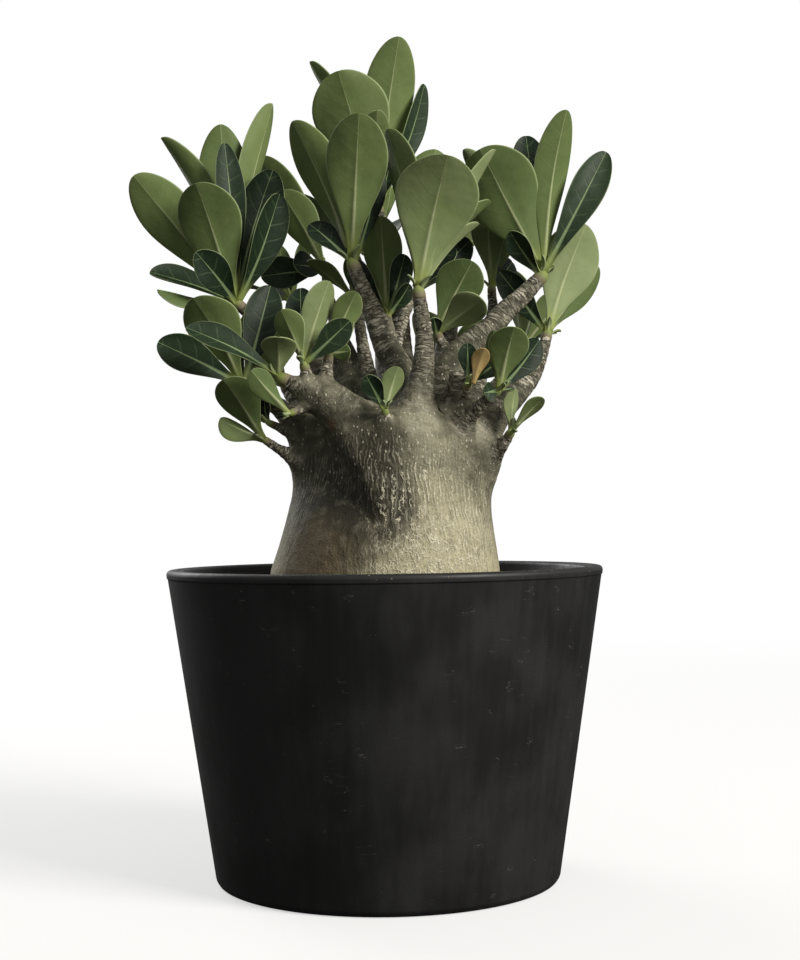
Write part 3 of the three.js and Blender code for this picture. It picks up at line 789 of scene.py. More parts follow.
def off_stem(points):
    """Distance of each point from the stem's skin and the way out, measured in the half plane
    through the point and the stem's axis, with the relief taken off the point first."""
    z = points[:, 2]
    centre, radius = stem_radius_at(z)
    x = points[:, 0] - centre
    y = points[:, 1]
    reach = np.hypot(x, y)
    angle = np.degrees(np.arctan2(x, -y)) % 360
    relief = stem_relief(angle, np.clip(z, RELIEF_LOW, RELIEF_HIGH))
    reach_even = reach - relief * radius / RELIEF_RADIUS
    heights = stem_heights(90)
    outline = np.stack([stem_radius_at(heights)[1], heights], axis=1)
    outline = np.concatenate([[[0, heights[0]]], outline, [[0, heights[-1]]]])
    away, far = to_path(np.stack([reach_even, z], axis=1), outline)[1:]
    step = np.diff(outline, axis=0)
    nearest = np.argmin(far, axis=1)
    row = np.arange(len(points))
    across = np.stack([step[:, 1], -step[:, 0]], axis=1)
    side = np.einsum("ni,ni->n", away[row, nearest], across[nearest])
    sign = np.where(side < 0, -1.0, 1.0)
    distance = sign * far[row, nearest]
    way = unit(away[row, nearest]) * sign[:, None]
    way = np.where(np.abs(distance)[:, None] < 1e-6, unit(across[nearest]), way)
    level = np.stack([x, y], axis=1) / np.maximum(reach, 1e-6)[:, None]
    out = np.concatenate([level * way[:, :1], way[:, 1:]], axis=1)
    return distance, out


def wood_field(points, lines):
    """The wood as one flowing skin. Each branch and the stem gives a distance d, and together
    they give -k ln(sum exp(-d / k)), which rounds the forks; k is larger close to the stem.
    Returns that distance, the way out, and for each point the facts of its nearest branch, the
    stem's share, how clear it is of the next branch, and which branch is nearest."""
    count = len(points)
    names = list(lines)
    distance = np.full((len(names) + 1, count), 60.0)
    outward = np.zeros((len(names) + 1, count, 3))
    facts = np.zeros((len(names) + 1, count, 4))
    distance[-1], outward[-1] = off_stem(points)
    for i, name in enumerate(names):
        line = lines[name]
        margin = line["radius"].max() + 16
        low = line["centre"].min(axis=0) - margin
        high = line["centre"].max(axis=0) + margin
        close = np.flatnonzero(((points > low) & (points < high)).all(axis=1))
        for some in np.array_split(close, len(close) // 20000 + 1):
            found = off_line(points[some], line, name == CUT_BRANCH)
            distance[i, some], outward[i, some], facts[i, some] = found
    blend = BRANCH_BLEND + (TRUNK_BLEND - BRANCH_BLEND) * np.exp(
        -((np.maximum(distance[-1], 0) / BLEND_REACH) ** 2)
    )
    nearest = distance.min(axis=0)
    weight = np.exp(-(distance - nearest) / blend)
    total = weight.sum(axis=0)
    weight = weight / total
    value = nearest - blend * np.log(total)
    way = unit(np.einsum("bn,bni->ni", weight, outward))
    branch = np.argmin(distance[:-1], axis=0)
    row = np.arange(count)
    own = facts[branch, row]
    ordered = np.partition(distance, 1, axis=0)
    clear = smoothstep(ordered[1] - ordered[0], 0.4, 3.5)
    return value, way, own, weight[-1], clear, branch


def relaxed(points, quads, times):
    """Points moved half way to the middle of their neighbours along the edges."""
    edges = np.concatenate([quads[:, [0, 1]], quads[:, [1, 2]], quads[:, [2, 3]], quads[:, [3, 0]]])
    share = np.bincount(edges[:, 0], minlength=len(points)) + np.bincount(edges[:, 1], minlength=len(points))
    for _ in range(times):
        middle = np.stack([
            np.bincount(edges[:, 0], points[edges[:, 1], j], len(points))
            + np.bincount(edges[:, 1], points[edges[:, 0], j], len(points))
            for j in range(3)
        ], axis=1) / share[:, None]
        points = (points + middle) / 2
    return points


def wood_shape():
    """Stem and branches: the raw skin drawn onto the flowing one, then raised by knobs where
    leaves stood on the branches and by slow lumps on the stem."""
    lines = {name: fine_line(points) for name, points in BRANCHES.items()}
    points, quads = raw_wood(lines)
    for pull, smoothing in ((1.6, 2), (1.6, 2), (1.6, 1), (1.2, 0)):
        value, way = wood_field(points, lines)[:2]
        points = points - way * np.clip(value, -pull, pull)[:, None]
        points = relaxed(points, quads, smoothing)
    value, way, own, stem_share, clear, branch = wood_field(points, lines)
    length, cosine, sine, radius = own.T
    on_branch = (1 - smoothstep(stem_share, 0.02, 0.5)) * clear
    youth = 1 - smoothstep(radius, 3.6, 8)
    phase = length / (3 * RING_PITCH) + 0.35 * cosine + 0.3 * np.sin(length / 4 + 2 * branch) * sine
    knobs = np.sin(2 * np.pi * phase) * (0.6 + 0.4 * np.sin(length * 1.7 + 3 * cosine + branch))
    height = 0.16 * knobs * on_branch * (0.25 + 0.75 * youth)
    x, y, z = points.T
    lumps = np.sin(x / 5.3 + 1.7 * np.sin(y / 7.1)) * np.sin(z / 6.1 + 1.3 * np.sin(x / 8.3))
    height = height + 0.22 * lumps * (1 - 0.6 * youth)
    points = points + way * height[:, None]
    return {
        "points": points,
        "quads": quads,
        "triangles": np.zeros((0, 3), dtype=int),
        "facts": {
            "ring": np.stack([length + 37 * branch, cosine, sine], axis=1),
            "growth": np.stack([on_branch, youth, stem_share], axis=1),
        },
    }


# Leaves

def blade(base, tip, upper, width, bow, fold, seed, rows=LEAF_ROWS):
    """A leaf as a grid: t runs from the base (0) to the tip (1), v from margin to margin.
    Half-width follows sin(pi t^1.9) and blunts at the tip; the middle line bows towards the
    upper side; both halves lift by the fold and wave along the margin; the underside carries
    a tapering rib and the upper side a faint groove."""
    t = 0.999 * np.sin(np.linspace(0, np.pi / 2, rows))[:, None]
    face = np.concatenate([ACROSS, -ACROSS[-2::-1]])
    v = np.concatenate([[-1], face, [1], face[::-1]])[None]
    flat = np.where(np.abs(face) > 0.95, 0.72, 1.0)
    w = np.concatenate([[0], flat, [0], -flat])[None]
    chord = tip - base
    length = np.linalg.norm(chord)
    side = unit(np.cross(chord, upper))
    fullness = LEAF_FULLNESS - TIP_ROUNDING * t**3
    outline = np.sin(np.pi * t**LEAF_WIDEST) ** fullness
    petiole = PETIOLE_WIDTH + PETIOLE_SHARE * width
    half = np.hypot(petiole * (1 - t), width * outline) / 2
    stalk = 1 - smoothstep(t, 0, 0.3)
    thick = BLADE_THICKNESS + (PETIOLE_THICKNESS - BLADE_THICKNESS) * stalk
    thick = np.minimum(thick, 1.7 * half)
    off = np.sqrt(v**2 + 0.0016) - 0.04
    wave = MARGIN_WAVE * width * outline * np.sin(7 * t + 6.28 * draw(seed, 2) + 1.7 * v)
    sway = 0.012 * length * np.sin(5 * t + 6.28 * draw(seed, 5)) * t
    lift = off**1.8 * (half * np.sin(np.radians(fold)) + wave) + sway
    rib = (RIB_HEIGHT * (1 - t) ** 1.2 + 0.12) * np.exp(-((v * half / RIB_HALF_WIDTH) ** 2))
    lift = lift + w * thick / 2 - rib * np.where(w < 0, 1.0, 0.22) * (1 - stalk)
    middle = base + chord * t + upper * bow * length * np.sin(np.pi * t)
    rings = (
        middle[:, None]
        + side * (v * half * np.cos(np.radians(fold)))[..., None]
        + upper * lift[..., None]
    )
    even = np.ones_like(lift)
    return shell(
        rings,
        place=np.stack([even * t * length, v * half * even, even * w], axis=-1),
        form=np.stack([even * t, even * v, even * draw(seed, 9)], axis=-1),
    )


def upper_side(base, tip, shown, turn):
    """The direction of a leaf's upper side, from the side that it turns to the front."""
    along = unit(tip - base)
    front = vec(0, -1, 0)
    front = unit(front - along * np.dot(front, along))
    angle = math.radians(turn)
    front = front * math.cos(angle) + np.cross(along, front) * math.sin(angle)
    return front if shown == "a" else -front


def branch_end(points):
    """The centre, directions, radius and length at a branch's last point."""
    line = branch_line(points, 4 * len(points))
    return {key: value[-1] for key, value in line.items()}


def tip_height(end):
    """How far the green tip stands out of a stem of this radius."""
    return 1.8 + 1.3 * end["radius"]


def growing_tip(end):
    """The green end of a stem: rings whose radius narrows as the square root of 1 - s^2.4."""
    part = np.sin(np.linspace(0, np.pi / 2, TIP_ROWS))[:, None]
    radius = end["radius"] * (1 + 0.06 * np.sin(np.pi * part)) * np.sqrt(1 - 0.995 * part**2.4)
    turn = (2 * np.pi * np.arange(TIP_SIDES) / TIP_SIDES)[None]
    level = part * (tip_height(end) + 0.8) - 0.8
    rings = (
        end["centre"]
        + end["along"] * level[..., None]
        + end["across"] * (radius * np.cos(turn))[..., None]
        + end["other"] * (radius * np.sin(turn))[..., None]
    )
    even = np.ones((TIP_ROWS, TIP_SIDES))
    return shell(
        rings,
        place=np.stack([(part - 1) * even, 2 * even, -even], axis=-1),
        form=np.stack([0.12 * even, 0 * even, 0.5 * even], axis=-1),
    )


def known_leaves(end, rows, seed):
    """Leaves with a known pose, each sunk into the tip a little lower than the one before."""
    leaves = []
    for i, (x, y, z, width, shown, turn, bow, fold) in enumerate(rows):
        up = tip_height(end) * (0.75 - 0.4 * i / len(rows))
        base = end["centre"] + end["along"] * up
        tip = vec(x, y, z)
        leaves.append(blade(base, tip, upper_side(base, tip, shown, turn), width, bow, fold, seed + i))
    return leaves


def whorl(end, count, first, length, width, seed, rows=LEAF_ROWS):
    """Leaves spiralling out from short steep inner ones to long low outer ones."""
    leaves = []
    for i in range(count):
        age = i / (count - 1)
        turn = math.radians(first + GOLDEN_ANGLE * i)
        lean = math.radians(WHORL_LEAN + WHORL_LEAN_SPREAD * age)
        reach = length * (0.62 + 0.38 * age) * (0.92 + 0.16 * draw(seed, i))
        out = end["across"] * math.cos(turn) + end["other"] * math.sin(turn)
        along = end["along"] * math.cos(lean) + out * math.sin(lean)
        upper = unit(end["along"] - along * np.dot(end["along"], along))
        base = end["centre"] + end["along"] * tip_height(end) * (0.75 - 0.4 * age)
        tip = base + along * reach
        wide = width * (0.7 + 0.3 * age)
        leaves.append(blade(base, tip, upper, wide, WHORL_BOW, WHORL_FOLD, seed + i, rows))
    return leaves


def rosette_shape(name, seed):
    """A growing tip, its leaves, and three young leaves that still stand close together."""
    end = branch_end(BRANCHES[name])
    parts = [growing_tip(end)]
    parts += known_leaves(end, LEAVES.get(name, []), seed)
    if name in WHORLS:
        parts += whorl(end, *WHORLS[name], seed + 40)
    young = 4 + 2 * float(end["radius"])
    first = 360 * draw(seed, 7)
    parts += whorl(end, 3, first, young, 0.3 * young, seed + 70, YOUNG_LEAF_ROWS)
    return joined(parts)


def yellow_leaf_shape():
    """The dying leaf, a small blade with its underside to the front."""
    base = vec(*YELLOW_LEAF_BASE)
    tip = vec(*YELLOW_LEAF_TIP)
    return blade(base, tip, upper_side(base, tip, "u", 10), 8, 0.06, 12, 900)


# Materials

# Bark: places with a colour painted on, as centre, reach in mm, sRGB colour and strength.
# Most are painted light and shade. The cream flank low on the right is pale bark with painted
# light on it. The olive brow in front is darkened with painted shade, and the hollow under it
# is painted shade. The pale shoulder and ridge on the right and the pale feet of two branches
# are painted light. The dark foot, the dark lobe and the crease on the left are painted shade,
# and the brown foot on the left is painted warm shade. The brown end of the cut branch is its
# own colour.
BARK_PAINTED_LIGHT_AND_TONES = [
    ((34, -38, 144), 44, "#bfb797", 0.85),
    ((-4, -46, 184), 34, "#38352a", 0.9),
    ((-2, -47, 168), 22, "#37342a", 0.85),
    ((27, -43, 187), 25, "#949078", 0.85),
    ((26, -44, 173), 17, "#b2ac8d", 0.8),
    ((46, -24, 209), 15, "#a09c87", 0.8),
    ((17, -38, 209), 13, "#a5a18a", 0.7),
    ((-22, -42, 158), 31, "#474232", 0.9),
    ((-34, -32, 184), 28, "#3d3b31", 0.8),
    ((-22, -42, 172), 24, "#2c2a22", 0.9),
    ((-32, -38, 146), 26, "#6f624b", 0.9),
    ((34, -27, 230.4), 5.5, "#4c3a2a", 0.85),
]
# The healed scar on the front branch: centre and reach in mm
SCAR = ((-21.5, -32.3, 206.8), 4.6)
# How far a noise moves the outlines of the places and of the scar, in mm
PLACE_STIR = 12
SCAR_STIR = 4
# Corky seams that run up the stem: how many round it, how far they sway in seams, width as a
# share of their spacing, strength everywhere, and places with another strength as centre, reach
# in mm and strength. Long wandering lines in front and on the right, and fine close ones between
UPRIGHT_SEAMS = [
    (76, 2.0, 0.1, 0.0, [((15, -46, 170), 31, 1.0), ((42, -22, 182), 20, 0.8)]),
    (150, 1.8, 0.2, 0.3, [
        ((-22, -42, 166), 26, 0.0),
        ((25, -43, 176), 18, 0.9),
        ((44, -30, 160), 26, 0.8),
        ((-30, -38, 146), 30, 0.0),
    ]),
]
# Short crooked seams at the foot, as centre, reach in mm and strength
CROOKED_SEAMS = ((22, -46, 138), 38, 0.9)


def add(tree, kind, sockets=None, **settings):
    """A shader node with its settings, and its sockets set to values or linked. A node given as
    a value stands for its first live output."""
    node = tree.nodes.new("ShaderNode" + kind)
    for key, value in settings.items():
        setattr(node, key, value)
    for key, value in (sockets or {}).items():
        if isinstance(value, bpy.types.Node):
            value = next(output for output in value.outputs if output.enabled)
        if isinstance(value, bpy.types.NodeSocket):
            tree.links.new(value, node.inputs[key])
        else:
            node.inputs[key].default_value = value
    return node


def colour(code):
    """An sRGB hex colour as linear light."""
    parts = [int(code[i:i + 2], 16) / 255 for i in (1, 3, 5)]
    parts = [c / 12.92 if c <= 0.04045 else ((c + 0.055) / 1.055) ** 2.4 for c in parts]
    return (*parts, 1.0)


def new_finish(name):
    """A new material and its empty node tree."""
    material = bpy.data.materials.new(name)
    material.use_nodes = True
    material.node_tree.nodes.clear()
    return material, material.node_tree


def places_in_mm(tree):
    """Places on the piece in millimetres, for patterns with a real size."""
    place = add(tree, "TexCoord").outputs["Object"]
    return add(tree, "Mapping", {"Vector": place, "Scale": (1000, 1000, 1000)})


def through(ramp, *stops):
    """A colour ramp set to run through (place, hex colour) stops."""
    points = ramp.color_ramp.elements
    while len(points) < len(stops):
        points.new(0.5)
    for point, (place, code) in zip(points, stops):
        point.position = place
        point.color = colour(code)
    return ramp


def matte_black_plastic():
    """Injection-moulded polypropylene, handled and dusty: nearly black and matte, with pale
    dust rubbed into soft upright streaks, a few scuffs, and grit along the rim."""
    material, tree = new_finish("matte black plastic")
    mm = places_in_mm(tree)
    upright = add(tree, "Mapping", {"Vector": mm, "Scale": (1, 1, 0.08)})
    height = add(tree, "SeparateXYZ", {0: mm}).outputs[2]
    # Soft streaks 5 mm wide and 60 mm tall, clouds of dust 45 mm wide, and grains of 0.8 mm
    streak = add(tree, "TexNoise", {"Vector": upright, "Scale": 1 / 5, "Detail": 5.0})
    cloud = add(tree, "TexNoise", {"Vector": mm, "Scale": 1 / 45, "Detail": 3.0})
    grain = add(tree, "TexNoise", {"Vector": mm, "Scale": 1 / 0.8, "Detail": 2.0})
    both = add(tree, "Math", {0: streak, 1: 0.4, 2: cloud}, operation="MULTIPLY_ADD")
    dust = add(tree, "MapRange", {0: both, 1: 0.5, 2: 0.95}, interpolation_type="SMOOTHSTEP")
    fresh = add(tree, "MapRange", {0: grain, 1: 0.3, 2: 0.7, 3: 0.5, 4: 1.0})
    dusty = add(tree, "Math", {0: dust, 1: fresh}, operation="MULTIPLY")
    tone = add(tree, "Mix", {
        0: dusty,
        6: colour("#171717"),
        7: colour("#252525"),
    }, data_type="RGBA")
    # Scuffs: short pale scratches where a stretched noise crosses its middle value
    bent = add(tree, "Mapping", {
        "Vector": mm,
        "Rotation": (0.3, 0.5, 0.2),
        "Scale": (0.05, 0.05, 0.3),
    })
    scratch = add(tree, "TexNoise", {"Vector": bent, "Scale": 1.0, "Detail": 3.0})
    off = add(tree, "Math", {0: scratch, 1: 0.5}, operation="SUBTRACT")
    off = add(tree, "Math", {0: off}, operation="ABSOLUTE")
    line = add(tree, "MapRange", {0: off, 1: 0.0, 2: 0.004, 3: 0.8, 4: 0.0})
    patch = add(tree, "TexNoise", {"Vector": mm, "Scale": 1 / 8, "Detail": 1.0})
    patch = add(tree, "MapRange", {0: patch, 1: 0.64, 2: 0.7})
    line = add(tree, "Math", {0: line, 1: patch}, operation="MULTIPLY")
    tone = add(tree, "Mix", {0: line, 6: tone, 7: colour("#77776f")}, data_type="RGBA")
    # Grit caught on the rim: specks under a millimetre, only above 138.5 mm
    speck = add(tree, "TexVoronoi", {"Vector": mm, "Scale": 1 / 3.2}, feature="F1")
    near = add(tree, "MapRange", {0: speck.outputs["Distance"], 1: 0.06, 2: 0.15, 3: 1.0, 4: 0.0})
    pick = add(tree, "SeparateColor", {0: speck.outputs["Color"]})
    pick = add(tree, "Math", {0: pick, 1: 0.7}, operation="GREATER_THAN")
    rim = add(tree, "MapRange", {0: height, 1: 138.5, 2: 141.5})
    speck = add(tree, "Math", {0: near, 1: pick}, operation="MULTIPLY")
    speck = add(tree, "Math", {0: speck, 1: rim}, operation="MULTIPLY")
    tone = add(tree, "Mix", {0: speck, 6: tone, 7: colour("#857c68")}, data_type="RGBA")
    rough = add(tree, "MapRange", {0: dust, 3: 0.46, 4: 0.7})
    lift = add(tree, "Math", {0: grain, 1: 0.05, 2: speck}, operation="MULTIPLY_ADD")
    bump = add(tree, "Bump", {"Height": lift, "Distance": 0.001, "Strength": 0.35})
    shader = add(tree, "BsdfPrincipled", {
        "Base Color": tone,
        "Roughness": rough,
        "Specular IOR Level": 0.42,
        "Normal": bump,
    })
    add(tree, "OutputMaterial", {"Surface": shader})
    return material


def potting_mix():
    """Peat and bark fines, slightly moist: dark brown, rough, with crumbs of a few millimetres."""
    material, tree = new_finish("potting mix")
    mm = places_in_mm(tree)
    crumb = add(tree, "TexVoronoi", {"Vector": mm, "Scale": 1 / 2.2}, feature="F1").outputs["Distance"]
    fine = add(tree, "TexNoise", {"Vector": mm, "Scale": 1 / 1.5, "Detail": 4.0})
    tone = through(add(tree, "ValToRGB", {0: fine}), (0.3, "#2b221a"), (0.52, "#4a3d30"), (0.75, "#6f604c"))
    tone = add(tree, "Mix", {0: crumb, 6: tone, 7: colour("#241c16")}, data_type="RGBA")
    height = add(tree, "Math", {0: fine, 1: crumb}, operation="SUBTRACT")
    bump = add(tree, "Bump", {"Height": height, "Distance": 0.001, "Strength": 0.9})
    shader = add(tree, "BsdfPrincipled", {"Base Color": tone, "Roughness": 0.95, "Normal": bump})
    add(tree, "OutputMaterial", {"Surface": shader})
    return material


def mixed_grit():
    """Pumice, bark and grit, dry: dull grains from nearly white to dark brown."""
    material, tree = new_finish("mixed grit")
    facts = add(tree, "Attribute", attribute_name="grain").outputs["Vector"]
    kind = add(tree, "SeparateXYZ", {0: facts})
    tone = through(
        add(tree, "ValToRGB", {0: kind}),
        (0.0, "#2a2019"), (0.35, "#4d3a28"), (0.6, "#6d5740"), (0.74, "#8b7c64"), (0.92, "#b9b0a0"),
    )
    place = add(tree, "TexCoord").outputs["Object"]
    grain = add(tree, "TexNoise", {"Vector": place, "Scale": 1500.0, "Detail": 2.0})
    tone = add(tree, "Mix", {0: grain, 6: tone, 7: colour("#3a3026")}, data_type="RGBA")
    shader = add(tree, "BsdfPrincipled", {"Base Color": tone, "Roughness": 0.9})
    add(tree, "OutputMaterial", {"Surface": shader})
    return material


def round_patch(tree, place, centre, reach, stir):
    """1 round a place on the plant, fading to 0 at reach mm from it. A noise has moved the
    places by half of stir on average, so the centre moves along."""
    middle = vec(*centre) + stir / 2
    apart = add(tree, "VectorMath", {0: place, 1: middle}, operation="DISTANCE")
    limits = {0: apart, 1: 0.4 * reach, 2: reach, 3: 1.0, 4: 0.0}
    return add(tree, "MapRange", limits, interpolation_type="SMOOTHSTEP")


def bark_ground(tree, mm, z, on_stem, cloudy, stirred, loose):
    """The bark's colour before its marks: cream and olive-grey clouds, places of painted light and
    shade with the cut branch's own brown end, and the healed scar, a red-brown crust with a
    nearly black middle."""
    ground = through(
        add(tree, "ValToRGB", {0: cloudy}),
        (0.0, "#4c4b3b"), (0.4, "#636150"), (0.75, "#787562"), (1.0, "#8e8a74"),
    )
    # An olive band under the shoulders and a cream foot close to the mix
    olive = add(tree, "MapRange", {0: z, 1: 162, 2: 184, 4: 0.7}, interpolation_type="SMOOTHSTEP")
    olive = add(tree, "Math", {0: olive, 1: on_stem}, operation="MULTIPLY")
    ground = add(tree, "Mix", {0: olive, 6: ground, 7: colour("#56533c")}, data_type="RGBA")
    foot = add(tree, "MapRange", {0: z, 1: 168, 2: 138, 3: 0.0, 4: 0.85})
    ground = add(tree, "Mix", {0: foot, 6: ground, 7: colour("#b5ad8d")}, data_type="RGBA")
    # Painted light and shade on the stem and branch feet, and the cut branch's own brown end
    for centre, reach, code, strength in BARK_PAINTED_LIGHT_AND_TONES:
        mark = round_patch(tree, loose, centre, reach, PLACE_STIR)
        mark = add(tree, "Math", {0: mark, 1: strength}, operation="MULTIPLY")
        ground = add(tree, "Mix", {0: mark, 6: ground, 7: colour(code)}, data_type="RGBA")
    centre, reach = SCAR
    crumbled = add(tree, "VectorMath", {
        0: stirred,
        1: [SCAR_STIR] * 3,
        2: mm,
    }, operation="MULTIPLY_ADD")
    for share, code, strength in ((1.0, "#6f4e38", 0.85), (0.5, "#20150f", 0.95)):
        mark = round_patch(tree, crumbled, centre, share * reach, SCAR_STIR)
        mark = add(tree, "Math", {0: mark, 1: strength}, operation="MULTIPLY")
        ground = add(tree, "Mix", {0: mark, 6: ground, 7: colour(code)}, data_type="RGBA")
    return ground


def corky_seams(tree, mm, x, y, z, on_stem, loose):
    """Pale corky seams, and the floor between them, which the relief sinks and the colour darkens
    with painted shade. Upright ones stand where the angle round the stem, swayed by a noise,
    passes a whole number; crooked ones are the borders of cells 2.4 mm wide."""
    angle = add(tree, "Math", {0: y, 1: x}, operation="ARCTAN2")
    tall = add(tree, "Mapping", {"Vector": mm, "Scale": (1, 1, 0.6)})
    sway = add(tree, "TexNoise", {"Vector": tall, "Scale": 1 / 6, "Detail": 4.0, "Roughness": 0.6})
    seams = []
    furrow = 0.0
    for count, swing, thin, everywhere, places in UPRIGHT_SEAMS:
        run = add(tree, "Math", {0: angle, 1: count / (2 * math.pi)}, operation="MULTIPLY")
        run = add(tree, "Math", {0: sway, 1: 2 * swing, 2: run}, operation="MULTIPLY_ADD")
        run = add(tree, "Math", {0: run, 1: 0.5}, operation="PINGPONG")
        seam = add(tree, "MapRange", {0: run, 1: 0.2 * thin, 2: thin, 3: 1.0, 4: 0.0})
        between = add(tree, "MapRange", {0: run, 1: thin, 2: 0.5})
        amount = everywhere
        for centre, reach, strength in places:
            mark = round_patch(tree, loose, centre, reach, PLACE_STIR)
            amount = add(tree, "Mix", {0: mark, 2: amount, 3: strength})
        seams.append(add(tree, "Math", {0: seam, 1: amount}, operation="MULTIPLY"))
        between = add(tree, "Math", {0: between, 1: amount}, operation="MULTIPLY")
        furrow = add(tree, "Math", {0: furrow, 1: between}, operation="MAXIMUM")
    waver = add(tree, "TexNoise", {"Vector": mm, "Scale": 1 / 3, "Detail": 2.0}).outputs["Color"]
    wavy = add(tree, "VectorMath", {0: waver, 1: (2.6, 2.6, 2.6), 2: mm}, operation="MULTIPLY_ADD")
    cells = add(tree, "Mapping", {"Vector": wavy, "Scale": (1 / 2.4, 1 / 2.4, 1 / 3.6)})
    seam = add(tree, "TexVoronoi", {"Vector": cells, "Scale": 1.0}, feature="DISTANCE_TO_EDGE")
    seam = add(tree, "MapRange", {0: seam, 1: 0.03, 2: 0.09, 3: 1.0, 4: 0.0})
    centre, reach, strength = CROOKED_SEAMS
    mark = round_patch(tree, loose, centre, reach, PLACE_STIR)
    mark = add(tree, "Math", {0: mark, 1: strength}, operation="MULTIPLY")
    seams.append(add(tree, "Math", {0: seam, 1: mark}, operation="MULTIPLY"))
    gap = add(tree, "TexNoise", {"Vector": tall, "Scale": 1 / 3, "Detail": 2.0})
    gap = add(tree, "MapRange", {0: gap, 1: 0.42, 2: 0.54, 3: 0.05, 4: 1.0})
    below = add(tree, "MapRange", {0: z, 1: 208, 2: 196})
    cork = 0.0
    for part in seams:
        cork = add(tree, "Math", {0: cork, 1: part}, operation="MAXIMUM")
    for part in (gap, below, on_stem):
        cork = add(tree, "Math", {0: cork, 1: part}, operation="MULTIPLY")
    for part in (below, on_stem):
        furrow = add(tree, "Math", {0: furrow, 1: part}, operation="MULTIPLY")
    return cork, furrow


def bark_pores(tree, mm, z):
    """Pale upright dots about a millimetre tall, in cells 2 mm wide, thick on the shoulders."""
    pore_place = add(tree, "Mapping", {"Vector": mm, "Scale": (1, 1, 0.6)})
    pore = add(tree, "TexVoronoi", {"Vector": pore_place, "Scale": 1 / 2}, feature="F1")
    dot = add(tree, "MapRange", {0: pore.outputs["Distance"], 1: 0.1, 2: 0.24, 3: 1.0, 4: 0.0})
    keep = add(tree, "SeparateColor", {0: pore.outputs["Color"]})
    keep = add(tree, "Math", {0: keep, 1: 0.35}, operation="GREATER_THAN")
    high = add(tree, "MapRange", {0: z, 1: 168, 2: 190, 4: 0.65})
    for part in (keep, high):
        dot = add(tree, "Math", {0: dot, 1: part}, operation="MULTIPLY")
    return dot


def leaf_scars(tree, mm, length, cosine, sine, youth, on_branch):
    """Cells 1.5 mm tall and a third of the way round a branch, dark between, some of them pale;
    strong on young wood and nearly gone on old."""
    wander = add(tree, "TexNoise", {"Vector": mm, "Scale": 1 / 4, "Detail": 3.0})
    turnings = add(tree, "Math", {0: length, 1: 1 / RING_PITCH}, operation="MULTIPLY")
    turnings = add(tree, "Math", {0: wander, 1: 2.0, 2: turnings}, operation="MULTIPLY_ADD")
    beside = add(tree, "Math", {0: cosine, 1: 0.55}, operation="MULTIPLY")
    around = add(tree, "Math", {0: sine, 1: 0.55}, operation="MULTIPLY")
    scar_place = add(tree, "CombineXYZ", {0: beside, 1: around, 2: turnings})
    scar = add(tree, "TexVoronoi", {"Vector": scar_place, "Scale": 1.0}, feature="F1")
    chance = add(tree, "SeparateColor", {0: scar.outputs["Color"]})
    edge = add(tree, "TexVoronoi", {"Vector": scar_place, "Scale": 1.0}, feature="DISTANCE_TO_EDGE")
    strong = add(tree, "MapRange", {0: youth, 3: 0.26, 4: 1.0})
    strong = add(tree, "Math", {0: strong, 1: on_branch}, operation="MULTIPLY")
    broken = add(tree, "TexNoise", {"Vector": mm, "Scale": 1 / 3, "Detail": 3.0})
    broken = add(tree, "MapRange", {0: broken, 1: 0.35, 2: 0.55, 3: 0.3, 4: 1.0})
    groove = add(tree, "MapRange", {0: edge, 1: 0.02, 2: 0.16, 3: 1.0, 4: 0.0})
    for part in (strong, broken):
        groove = add(tree, "Math", {0: groove, 1: part}, operation="MULTIPLY")
    pale = add(tree, "MapRange", {0: chance, 1: 0.5, 2: 0.85})
    crest = add(tree, "MapRange", {0: edge, 1: 0.15, 2: 0.3})
    for part in (crest, strong):
        pale = add(tree, "Math", {0: pale, 1: part}, operation="MULTIPLY")
    return groove, pale


